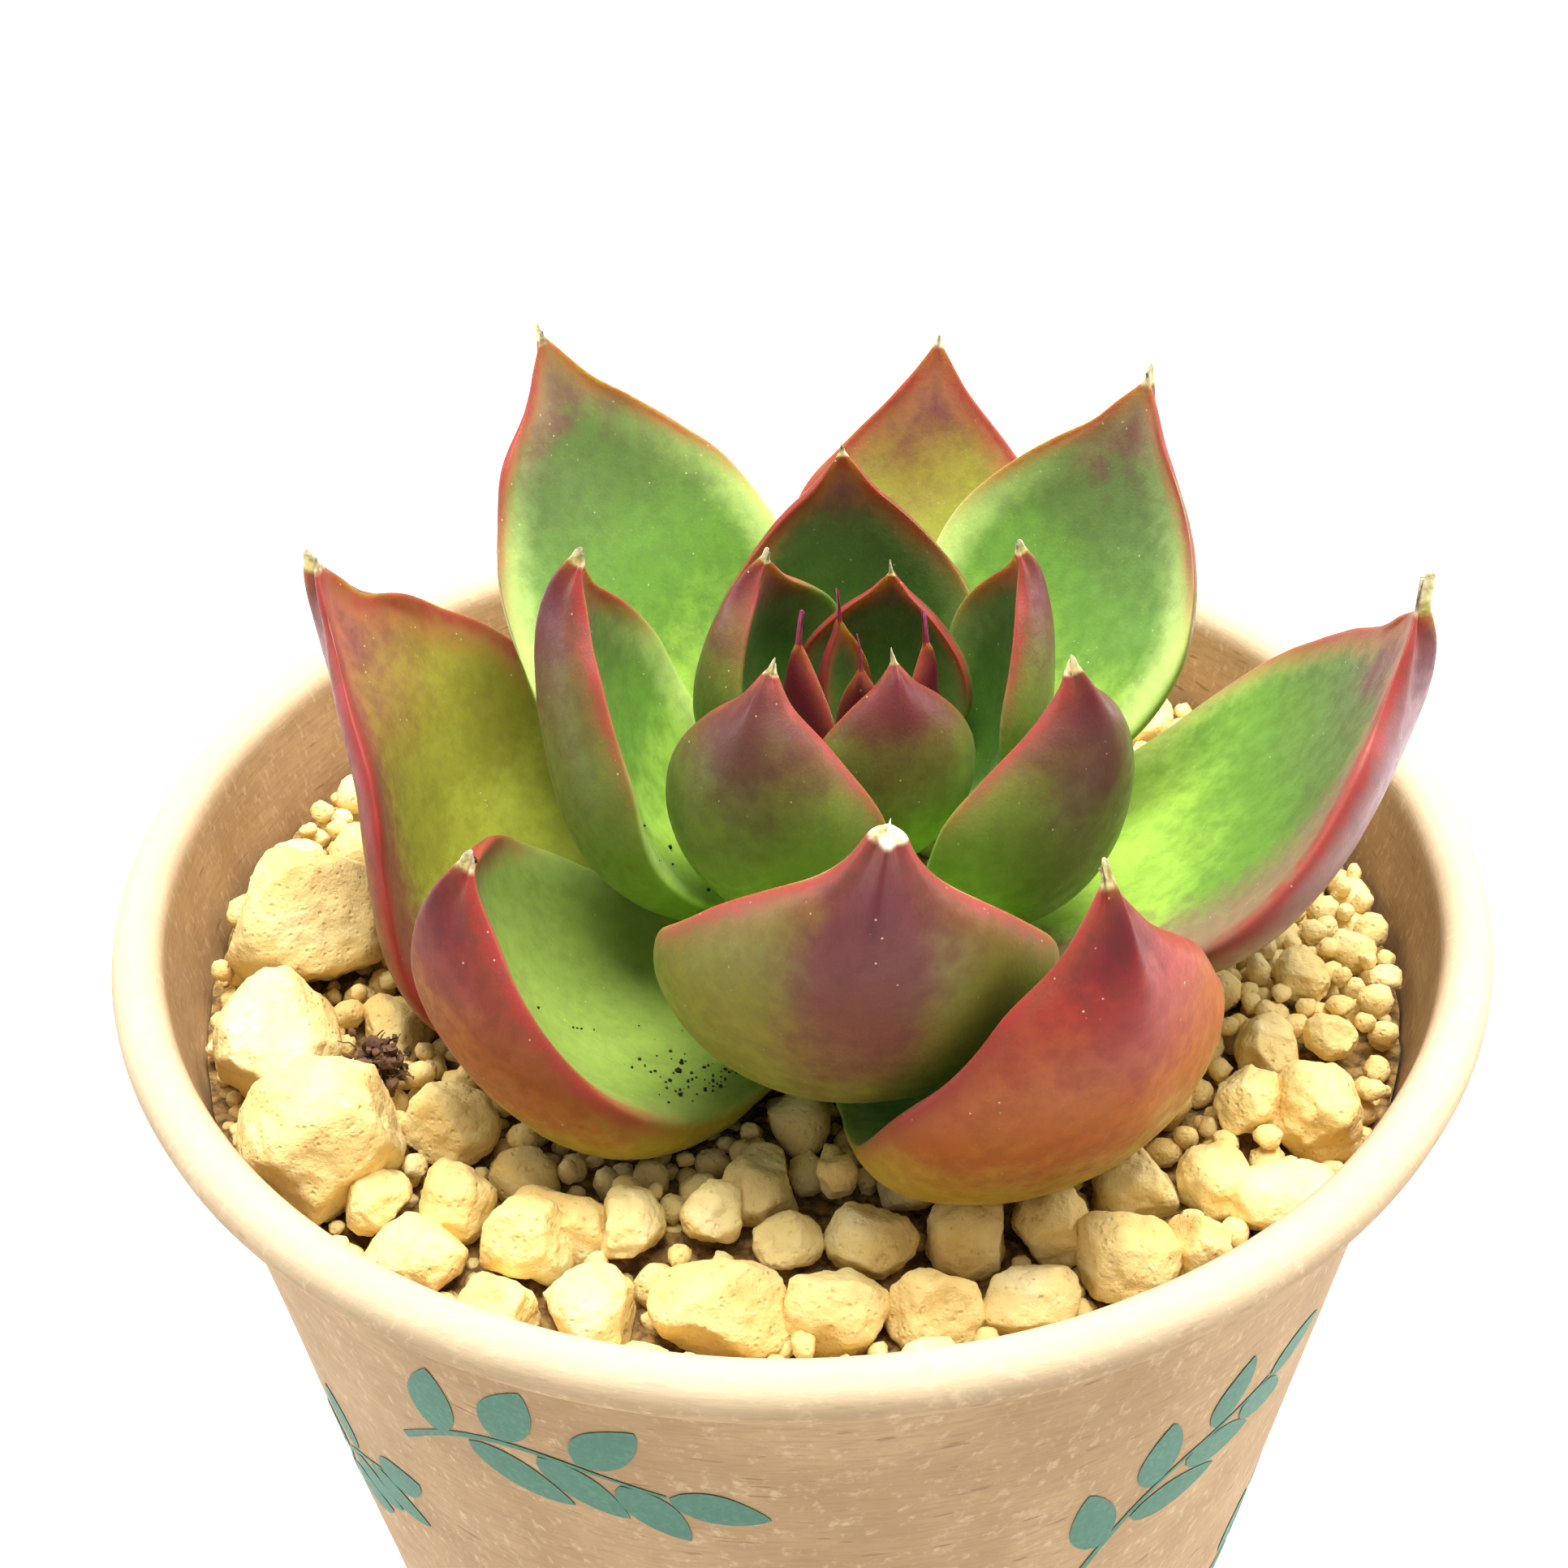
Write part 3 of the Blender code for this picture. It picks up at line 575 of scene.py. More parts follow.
def pumice_finish():
    """Chalky and open-grained: cream, paler where its grain stands high, with painted shade in tan where
    the grain is low, and a few dark grains.
    """
    stone = Finish("pumice_stone", 0.92)
    tone = stone.noise(170.0, 2.0)
    grain = stone.noise(1500.0, 5.0, 0.7)
    pits = stone.cells(1900.0)
    colour = stone.ramp(tone, (0.3, "#ECC97A"), (0.5, "#F6DC92"), (0.72, "#FAE8AC"))
    # Painted shade: the low places of the grain, the hollows of the bump, are painted tan, darker than
    # the stone.
    colour = stone.mix(stone.span(grain, 0.42, 0.25, 0.0, 0.75), colour, paint("#C09450"))
    colour = stone.mix(stone.span(grain, 0.55, 0.75, 0.0, 0.5), colour, paint("#FCF2CC"))
    speck = stone.math("MULTIPLY", stone.span(stone.cells(700.0), 0.0, 0.1, 1.0, 0.0),
                       stone.span(stone.noise(300.0, 1.0), 0.6, 0.66))
    colour = stone.mix(speck, colour, paint("#6B4C2C"))
    relief = stone.math("ADD", grain, stone.math("MULTIPLY", stone.span(pits, 0.0, 0.35), 0.35))
    return stone.done(colour, stone.bump(relief, 0.22 * MM))


def tree_of(nodes):
    """One search tree over several CAD nodes."""
    points, faces = [], []
    for node in nodes:
        mesh = bpy.data.objects[node].data
        first = len(points)
        points += [vertex.co.copy() for vertex in mesh.vertices]
        faces += [tuple(first + index for index in face.vertices) for face in mesh.polygons]
    return BVHTree.FromPolygons(points, faces)


def lift_of(pile, places, radius):
    """Height at which a round grain comes to rest at each place, on the floor or on the pile."""
    across = ((places[:, None, :2] - pile[None, :, :2]) ** 2).sum(axis=2)
    spare = (radius + pile[None, :, 3]) ** 2 - across
    on_pile = np.where(spare > 0, pile[None, :, 2] + np.sqrt(np.maximum(spare, 0)), -1)
    return np.maximum(on_pile.max(axis=1), GRIT_FLOOR + radius)


def is_clear(centre, radius):
    """Whether a grain is outside every leaf and large stone, and misses them by a little."""
    spot, normal, _, distance = in_the_way.find_nearest(Vector(centre))
    return distance > radius + CLEAR and (Vector(centre) - spot).dot(normal) > 0


def fill(pile, count, smallest, largest, tops, allowed):
    """Drop grains one by one where the pile is lowest, until they stand too high."""
    misses = 0
    while count and misses < PATIENCE:
        radius = draw.uniform(smallest, largest) * MM
        reach = bore_radius(GRIT_FLOOR + radius) - WALL_ROOM * radius - CLEAR
        tries = []
        while len(tries) < TRIES:
            x, y = draw.uniform(-reach, reach), draw.uniform(-reach, reach)
            if x * x + y * y < reach * reach and allowed(x / MM, y / MM):
                tries.append((x, y))
        tries = np.array(tries)
        rest = lift_of(pile, tries, radius)
        best = int(np.argmin(rest))
        centre = (*tries[best], rest[best])
        if rest[best] + radius < tops and is_clear(centre, radius):
            pile = np.vstack([pile, (*centre, radius)])
            count -= 1
            misses = 0
        else:
            misses += 1
    return pile


def join_grains(name, rows, shapes, finish):
    """Many small grains as one piece, each a turned copy of one of the shapes."""
    points, faces = [], []
    for index, (x, y, z, radius) in enumerate(rows):
        shape, shape_faces = shapes[index % len(shapes)]
        stretch = np.array([draw.uniform(*GRAIN_STRETCH) for _ in range(3)])
        stretch *= radius * GRAIN_OVER_BALL
        first = sum(len(block) for block in points)
        points.append(turned_about(shape, index) * stretch + (x, y, z))
        faces += [tuple(first + corner for corner in face) for face in shape_faces]
    piece = as_piece(name, np.vstack(points), faces, finish, 60)
    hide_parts("grit_bed")


draw = random.Random(11)
pumice = pumice_finish()
fine_shapes = [broken_stone(seed, 10, 0.06) for seed in range(SHAPES)]
coarse_shapes = [broken_stone(40 + seed, 8, 0.4) for seed in range(SHAPES)]
large_nodes = sorted(name for name in frame["nodes"] if name.startswith("pumice_stone"))
leaf_nodes = sorted(name for name in frame["nodes"] if name.startswith("leaf_"))
in_the_way = tree_of(large_nodes + leaf_nodes + ["dry_rootlet"])

for index, node in enumerate(large_nodes):
    low, high = (np.array(corner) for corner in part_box(node))
    shape, shape_faces = fine_shapes[index % SHAPES]
    centre = (low + high) / 2
    half_size = (high - low) / 2 * STONE_OVER_SOLID
    points = weathered(turned_about(shape, 100 + index) * half_size + centre, centre)
    stone = as_piece(node.replace("pumice_stone", "large_pumice"), points, shape_faces, pumice)
    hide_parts(node)

pile = []
for x, y, width in FRONT_STONES:
    width *= draw.uniform(0.8, 1.12) * MM
    z = GRIT_TOPS - draw.uniform(0, 0.7) * MM - width / 2
    pile.append((x * MM, y * MM, z, BALL_OF_STONE * width))
pile = np.array(pile)
for index, (x, y, z, radius) in enumerate(pile):
    shape, shape_faces = fine_shapes[(index * 4 + 2) % SHAPES]
    stretch = np.array([draw.uniform(*FRONT_STRETCH) for _ in range(3)]) * radius
    points = turned_about(shape, 200 + index) * stretch + (x, y, z)
    stone = as_piece("front_pumice_%02d" % (index + 1), weathered(points, np.array((x, y, z))),
                     shape_faces, pumice)
    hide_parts("grit_bed")


def in_the_open(x, y):
    """Not under the heart of the plant (mm)."""
    return math.hypot(x - 4, y) > 11


def among_stones(x, y):
    """In the open, and not on the patch of gravel at the right."""
    return in_the_open(x, y) and not (x > 20 and -9 < y < 24)


def among_gravel(x, y):
    """On and round the patch of gravel."""
    return in_the_open(x, y) and x > 17 and -10 < y < 27


placed = len(pile)
pile = fill(pile, 260, 1.5, 2.3, GRIT_TOPS, among_stones)
pile = fill(pile, 500, 0.8, 1.4, SMALL_TOPS, in_the_open)
stones_end = len(pile)
pile = fill(pile, 420, 0.5, 1.1, FINE_TOPS, among_gravel)
pile = fill(pile, 700, 0.4, 0.8, FINE_TOPS, in_the_open)
join_grains("loose_pumice", pile[placed:stones_end], coarse_shapes, pumice)
join_grains("fine_gravel", pile[stones_end:], coarse_shapes, pumice)


def grit_dust_and_shade():
    """Dust and crushed grains that have sifted down between the stones, painted dark brown as shade in
    the deep gaps between them.
    """
    dust = Finish("grit_dust_and_shade", 0.97)
    crumbs = dust.cells(1100.0)
    grain = dust.noise(1800.0, 4.0)
    # Painted shade: the dust is painted dark brown, and darker still at the edges of its crumbs, for the
    # shade deep in the gaps between the stones.
    colour = dust.ramp(grain, (0.3, "#785A32"), (0.55, "#A8854C"), (0.8, "#CBA868"))
    colour = dust.mix(dust.span(crumbs, 0.4, 0.8, 0.0, 0.7), colour, paint("#3E2C1C"))
    return dust.done(colour, dust.bump(dust.math("SUBTRACT", grain, crumbs), 0.5 * MM))


def lay_dust():
    """The bed under the loose stones, a disc of dust with a lumpy top, sunk under the leaves."""
    bed = start(bpy.ops.mesh.primitive_grid_add, size=2,
                x_subdivisions=DUST_GRID, y_subdivisions=DUST_GRID)
    bpy.ops.mesh.extrude_region_move(TRANSFORM_OT_translate={"value": (0, 0, -1)})
    face_out()
    grit_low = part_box("grit_bed")[0].z
    for vertex in bed.data.vertices:
        u, v, layer = vertex.co
        x, y = u * math.sqrt(1 - v * v / 2), v * math.sqrt(1 - u * u / 2)
        height = grit_low + 0.1 * MM
        if layer > -0.5:
            reach = bore_radius(GRIT_FLOOR) - CLEAR
            spot = Vector((x * reach, y * reach, grit_low))
            height = GRIT_FLOOR + 0.5 * MM + lumps(spot, DUST_LUMPS) * MM
            over = in_the_way.ray_cast(spot, Vector((0, 0, 1)))[0]
            if over:
                height = min(height, over.z - DUST_SINK)
        reach = bore_radius(height) - CLEAR
        vertex.co = (x * reach, y * reach, height)
    settle_piece(bed, "grit_dust_bed", grit_dust_and_shade(), 60)
    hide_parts("grit_bed")


lay_dust()


# ---- leaves ------------------------------------------------------------------------------
# Each leaf is a thick water-filled blade that grows from the stem in a golden spiral, with a
# waxy skin, a thin red margin, and a dead, dry bristle at its tip.
RING_POINTS = 12
HALF_RING = RING_POINTS // 2
OTHER_WAY = [0] + list(range(RING_POINTS - 1, 0, -1))   # a ring's points, walked backwards
FULL_LEAF = 36.0                  # mm: on shorter leaves, the sizes in mm below are in proportion
NECK_DEPTH = 0.14                 # the blade is drawn in by this share before its bristle,
NECK_AT, NECK_LENGTH = 3.0, 2.0   # so far from its tip and over such a length (mm)
KEEL_LENGTH = 9.0                 # mm, down from the tip on the lower face
KEEL_HEIGHT, HOLLOW_DEPTH = 0.55, 0.3   # mm, of the keel and of the hollows beside it
KEEL_WIDTH, HOLLOW_WIDTH, HOLLOW_AT = 0.2, 0.25, 0.55   # shares of the blade's half width
LEAF_WAVES = ((110, 0.22), (420, 0.05))
MARGIN_WAVES, MARGIN_SWELL = 190, 0.45
APART = Vector((3, 1, 7))         # keeps the margin's waves apart from the blade's
PLANT_AXIS = Vector((4.0 * MM, 0.0, 0.0))


def leaf_rings(node):
    """The CAD leaf's merged points: rings of twelve in order round the blade, and the tip."""
    bm = bmesh.new()
    bm.from_mesh(bpy.data.objects[node].data)
    bmesh.ops.remove_doubles(bm, verts=bm.verts[:], dist=1e-6)
    near = {v: [e.other_vert(v) for e in v.link_edges] for v in bm.verts}
    for tip in (v for v in bm.verts if len(near[v]) >= RING_POINTS):
        level, shell = {tip: 0}, [tip]
        rings = []
        while shell:
            shell = list(dict.fromkeys(n for v in shell for n in near[v] if n not in level))
            level.update((v, len(rings) + 1) for v in shell)
            rings.append(shell)
        rings.pop()
        if all(len(ring) == RING_POINTS for ring in rings):
            break
    ordered = []
    for ring in rings[::-1]:
        beside = {v: [e.other_vert(v) for e in v.link_edges if level[e.other_vert(v)] == level[v]
                      and any(level[w] < level[v] for f in e.link_faces for w in f.verts)]
                  for v in ring}
        walk = [ring[0]]
        while len(walk) < RING_POINTS:
            walk.append(next(n for n in beside[walk[-1]] if n not in walk))
        points = np.array([v.co for v in walk])
        if ordered:
            ways = [np.roll(way, shift, axis=0) for way in (points, points[::-1])
                    for shift in range(RING_POINTS)]
            points = min(ways, key=lambda way: float(((way - ordered[-1]) ** 2).sum()))
        ordered.append(points)
    tip_point = np.array(tip.co)
    bm.free()
    return np.array(ordered), tip_point


def with_margin_first(rings):
    """Turn the rings so that points 0 and 6 are the margins, and 1 to 5 the upper face."""
    middle = rings[3:9]
    spans = [np.linalg.norm(middle[:, i] - middle[:, i + HALF_RING], axis=1).sum()
             for i in range(HALF_RING)]
    rings = np.roll(rings, -int(np.argmax(spans)), axis=1)
    centres = rings.mean(axis=1)
    along = centres[8] - centres[4]
    outward = centres[6] - np.array(PLANT_AXIS)
    outward[2] = 0
    outward /= np.linalg.norm(outward)
    facing = np.array((0, 0, 1.0)) * (along @ outward) - outward * along[2]
    one_face = rings[4:9, 1:HALF_RING].mean(axis=(0, 1))
    other_face = rings[4:9, HALF_RING + 1:].mean(axis=(0, 1))
    if (one_face - other_face) @ facing < 0:
        rings = np.roll(rings[:, ::-1], 1, axis=1)
    return rings


def rows_at(rows, at):
    """Rows of points read at fractional positions."""
    low = np.clip(np.floor(at).astype(int), 0, len(rows) - 2)
    share = (at - low)[:, None]
    return rows[low] * (1 - share) + rows[low + 1] * share


def step_up(value, low, high):
    """Smooth 0..1 between low and high."""
    t = np.clip((value - low) / (high - low), 0.0, 1.0)
    return t * t * (3 - 2 * t)


# Along the bristle, as a share of its length from the leaf's tip, and its width there.
BRISTLE_WIDTHS = ((-0.35, 1.5), (0.0, 1.0), (0.4, 0.8), (0.75, 0.5), (1.0, 0.25))


def bristle_rings(rings, tip, length, radius):
    """Rings of the dry bristle that ends the leaf, bending a little as it narrows."""
    axis = tip - rings[-1].mean(axis=0)
    axis /= np.linalg.norm(axis)
    side = rings[-1][0] - rings[-1][HALF_RING]
    side -= axis * (side @ axis)
    side /= np.linalg.norm(side)
    depth = np.cross(axis, side)
    bend = side * 0.15 + np.array((0, 0, 0.2))
    turns = [math.tau * index / RING_POINTS for index in range(RING_POINTS)]
    made = []
    for share, width in BRISTLE_WIDTHS:
        centre = tip + axis * length * share + bend * length * max(share, 0) ** 2
        made.append(np.array([centre + (side * math.cos(turn) - depth * math.sin(turn) * 0.8)
                              * radius * width for turn in turns]))
    as_is, turned = ((made[0][order] - rings[-1]) ** 2 for order in (slice(None), OTHER_WAY))
    if as_is.sum() > turned.sum():
        made = [ring[OTHER_WAY] for ring in made]
    return made


def model_leaf(node, bristle, detail):
    """A fine leaf in the place of its CAD solid, with measures of its skin stored on its points."""
    rings, tip = leaf_rings(node)
    rings = with_margin_first(rings)
    blade_rings = len(rings)
    length, radius = bristle
    rows = list(rings) + bristle_rings(rings, tip, length * MM, radius * MM)
    points = [tuple(point) for ring in rows for point in ring]
    heel, end = len(points), len(points) + 1
    points += [tuple(rows[0].mean(axis=0)), tuple(rows[-1].mean(axis=0))]
    faces = []
    for ring in range(len(rows) - 1):
        for one in range(RING_POINTS):
            two = (one + 1) % RING_POINTS
            base = ring * RING_POINTS
            faces.append((base + one, base + two, base + RING_POINTS + two, base + RING_POINTS + one))
    last = (len(rows) - 1) * RING_POINTS
    for one in range(RING_POINTS):
        two = (one + 1) % RING_POINTS
        faces.append((two, one, heel))
        faces.append((last + one, last + two, end))
    mesh = bpy.data.meshes.new("leaf")
    mesh.from_pydata(points, [], faces)
    leaf = bpy.data.objects.new("leaf", mesh)
    bpy.context.scene.collection.objects.link(leaf)
    across = [math.cos(math.tau * index / RING_POINTS) for index in range(RING_POINTS)]
    under = [0.5] + [0.0] * (HALF_RING - 1) + [0.5] + [1.0] * (HALF_RING - 1)
    store(mesh, "row", [ring for ring in range(len(rows)) for _ in range(RING_POINTS)] + [0, len(rows)])
    store(mesh, "across", across * len(rows) + [0, 0])
    store(mesh, "under", under * len(rows) + [0.5, 0.5])
    select_only(leaf)
    bpy.ops.object.mode_set(mode="EDIT")
    face_out()
    smooth = leaf.modifiers.new("skin", "SUBSURF")
    smooth.levels = smooth.render_levels = detail
    apply_modifiers(leaf)
    shape_leaf(leaf, rings, tip, blade_rings)
    return leaf


def store(mesh, name, values):
    """Keep one number for each point of the mesh."""
    layer = mesh.attributes.new(name, "FLOAT", "POINT")
    layer.data.foreach_set("value", np.asarray(values, dtype=np.float32))


def read(mesh, name):
    """The numbers that were stored for each point."""
    values = np.zeros(len(mesh.vertices), np.float32)
    mesh.attributes[name].data.foreach_get("value", values)
    return values.astype(float)


def shape_leaf(leaf, rings, tip, blade_rings):
    """Draw the blade in before its bristle, raise its keel, let its margin waver, measure it."""
    mesh = leaf.data
    count = len(mesh.vertices)
    where = np.zeros(count * 3)
    mesh.vertices.foreach_get("co", where)
    where = where.reshape(-1, 3)
    normals = np.zeros(count * 3, np.float32)
    mesh.vertices.foreach_get("normal", normals)
    normals = normals.reshape(-1, 3).astype(float)
    row, across, under = read(mesh, "row"), read(mesh, "across"), read(mesh, "under")
    centres = np.vstack([(rings[:, 0] + rings[:, HALF_RING]) / 2, tip[None]])
    sides = rings[:, 0] - rings[:, HALF_RING]
    sides = np.vstack([sides, sides[-1:]])
    sides /= np.linalg.norm(sides, axis=1)[:, None]
    at = np.clip(row, 0, blade_rings)
    middle = rows_at(centres, at)
    side = rows_at(sides, at)
    lengths = np.concatenate([[0], np.cumsum(np.linalg.norm(np.diff(centres, axis=0), axis=1))])
    stem_mm = np.interp(at, np.arange(len(lengths)), lengths) / MM
    whole_mm = lengths[-1] / MM
    to_tip = whole_mm - stem_mm
    size = min(whole_mm / FULL_LEAF, 1.0)
    offset = ((where - middle) * side).sum(axis=1)
    neck = np.exp(-((to_tip - NECK_AT * size) / (NECK_LENGTH * size)) ** 2)
    where -= side * (offset * NECK_DEPTH * neck * (row < blade_rings))[:, None]
    is_under = step_up(under, 0.45, 0.75)
    near_tip = np.exp(-(to_tip / (KEEL_LENGTH * size)) ** 2)
    keel = np.exp(-(across / KEEL_WIDTH) ** 2) * KEEL_HEIGHT
    hollow = np.exp(-((np.abs(across) - HOLLOW_AT) / HOLLOW_WIDTH) ** 2) * HOLLOW_DEPTH
    where += normals * ((keel - hollow) * near_tip * is_under * size * MM)[:, None]
    on_blade = step_up(to_tip, 0.2, 3.0)
    for index in range(count):
        if on_blade[index] > 0.01:
            spot = Vector(where[index])
            swell = lumps(spot, LEAF_WAVES)
            edge = max(abs(across[index]) - 0.75, 0.0) * 4
            swell += edge * noise.noise(spot * MARGIN_WAVES + APART) * MARGIN_SWELL
            where[index] += normals[index] * (swell * on_blade[index] * size * MM)
    mesh.vertices.foreach_set("co", where.ravel())
    mesh.update()
    margin = where[(np.abs(across) > 0.985) & (row <= blade_rings)]
    tree = KDTree(len(margin))
    for index, spot in enumerate(margin):
        tree.insert(spot, index)
    tree.balance()
    margin_mm = np.array([tree.find(spot)[2] for spot in where]) / MM
    store(mesh, "margin_mm", margin_mm)
    store(mesh, "frontward", across * (1 if sides[blade_rings // 2, 1] < 0 else -1))
    store(mesh, "along", stem_mm / whole_mm)
    store(mesh, "dry", np.clip(row - blade_rings + 0.2, 0.0, 1.0))


def leaf_skin(name, upper, below, blush, margin, glow, husk, flank=None):
    """Waxy skin over green flesh. upper and below are colour stops from the stem to the tip. The
    blush is the purple that spreads over the lower face from the keel: its colour, where it
    starts and is full, and how much sooner it starts on the keel than at the margins. margin is
    where the red edge starts, and its width in mm; glow is how strongly the band next to the edge
    is painted pale, a painted glow of light shining through the thin edge. A
    flank is the colour of a wide flush along the front margin, which gets the most sun."""
    skin = Finish(name, 0.45, Subsurface_Weight=0.3, Subsurface_Scale=2.4 * MM,
                  Subsurface_Radius=(0.9, 1.0, 0.3), Specular_IOR_Level=0.26,
                  Sheen_Weight=0.025, Sheen_Roughness=0.4, Sheen_Tint=paint("#E9DDE6"))
    along, margin_mm = skin.attribute("along"), skin.attribute("margin_mm")
    under, dry, across = skin.attribute("under"), skin.attribute("dry"), skin.attribute("across")
    drift = skin.noise(190.0, 3.0)
    mottle = skin.noise(900.0, 4.0, 0.65)
    drifting = skin.math("ADD", along, skin.span(drift, 0.25, 0.75, -0.06, 0.06, soft=False))
    drifting = skin.math("ADD", drifting, skin.span(mottle, 0.3, 0.7, -0.02, 0.02))
    face = skin.ramp(drifting, *upper)
    back = skin.ramp(drifting, *below)
    blush_code, blush_from, blush_to, keel_lead = blush
    from_keel = skin.span(skin.math("ABSOLUTE", across), 0.0, 0.9, keel_lead, -keel_lead)
    keel = skin.math("ADD", drifting, from_keel)
    back = skin.mix(skin.span(keel, blush_from, blush_to, 0.0, 0.92), back, paint(blush_code))
    back = skin.mix(skin.span(drifting, 0.84, 0.98, 0.0, 0.85), back, paint("#5E1A24"))
    face = skin.mix(skin.span(drifting, 0.78, 0.95, 0.0, 0.85), face, paint("#76323E"))
    margin_from, band = margin
    ragged = skin.math("ADD", margin_mm, skin.span(mottle, 0.3, 0.7, -0.22 * band, 0.22 * band))
    reddening = skin.span(along, margin_from, margin_from + 0.35)
    # Painted light: a pale band inside the margin of the upper face, for the glow of light through the
    # thin edge.
    painted_edge_glow = skin.math("MULTIPLY", skin.span(ragged, 0.5, 3.2, glow, 0.0),
                           skin.span(along, 0.5, 0.85, 1.0, 0.25))
    face = skin.mix(painted_edge_glow, face, paint("#CFE488"))
    orange = skin.math("MULTIPLY", skin.span(ragged, 0.4 * band, 2.6 * band, 0.8, 0.0), reddening)
    face = skin.mix(orange, face, paint("#A4623A"))
    back = skin.mix(skin.math("MULTIPLY", orange, 0.7), back, paint("#80402C"))
    if flank:
        flush = skin.math("ADD", skin.attribute("frontward"),
                          skin.span(mottle, 0.3, 0.7, -0.06, 0.06))
        face = skin.mix(skin.span(flush, 0.42, 0.8, 0.0, 0.9), face, paint(flank))
    colour = skin.mix(skin.span(under, 0.42, 0.58), face, back)
    red = skin.math("MULTIPLY", skin.span(ragged, 0.15 * band, 1.2 * band, 0.85, 0.0), reddening)
    colour = skin.mix(red, colour, paint("#8E2E2C"))
    fleck = skin.cells(2600.0)
    colour = skin.mix(skin.span(fleck, 0.0, 0.28, 0.35, 0.0), colour, paint("#E6EDBE"), "SOFT_LIGHT")
    colour = skin.mix(skin.span(mottle, 0.35, 0.7, 0.0, 0.16), colour, paint("#2B3A14"))
    glint = skin.math("MULTIPLY", skin.span(skin.cells(1400.0), 0.0, 0.11, 1.0, 0.0),
                      skin.span(skin.noise(420.0, 2.0), 0.5, 0.62))
    colour = skin.mix(skin.math("MULTIPLY", glint, 0.75), colour, paint("#EEF0CC"))
    husk_colour = skin.ramp(skin.noise(1800.0, 3.0), (0.3, husk[0]), (0.62, husk[1]))
    colour = skin.mix(skin.span(dry, 0.15, 0.6), colour, husk_colour)
    grain = skin.math("ADD", skin.noise(5200.0, 2.0), skin.math("MULTIPLY", mottle, 0.8))
    rough = skin.span(mottle, 0.3, 0.7, 0.4, 0.54)
    return skin.done(colour, skin.bump(grain, 0.05 * MM, 0.35), rough)


# The upper faces' stops are painted paler than the lower faces', palest at the stem: partly the leaves'
# own colour, and partly painted light, for the glow of light through the flesh near the stem and against
# the shade among the crowded leaves.
GREEN = ((0.0, "#C8E468"), (0.3, "#A4C850"), (0.55, "#648E34"), (0.8, "#587034"), (0.95, "#704442"))
LIME = ((0.0, "#A2BC50"), (0.3, "#8EA84A"), (0.6, "#829A44"), (0.85, "#7A8A42"), (0.97, "#7C5040"))
YELLOW = ((0.0, "#CCDC64"), (0.35, "#B4C046"), (0.62, "#949432"), (0.88, "#84602E"), (0.97, "#7C3C38"))
DEEP = ((0.0, "#70A43C"), (0.4, "#4E7828"), (0.75, "#425E24"), (0.9, "#543622"), (1.0, "#6A2628"))
OLIVE_BACK = ((0.0, "#98AC38"), (0.4, "#80902C"), (0.7, "#747028"), (0.95, "#6C3828"))
GREEN_BACK = ((0.0, "#8CB03C"), (0.35, "#789834"), (0.65, "#6C7830"), (0.95, "#663228"))
FIRE_BACK = ((0.0, "#B0B038"), (0.56, "#A8902A"), (0.70, "#A45824"), (0.86, "#923228"), (0.96, "#802024"))
DUSK_BACK = ((0.0, "#A0A62C"), (0.56, "#968C24"), (0.70, "#9A5624"), (0.84, "#843626"), (0.96, "#782428"))
GREY_BACK = ((0.0, "#98A84C"), (0.3, "#8E8448"), (0.6, "#886656"), (0.85, "#7A5052"), (0.97, "#7C3A40"))
DRY, CRIMSON = ("#6E5238", "#CDB892"), ("#5A1026", "#7C1836")

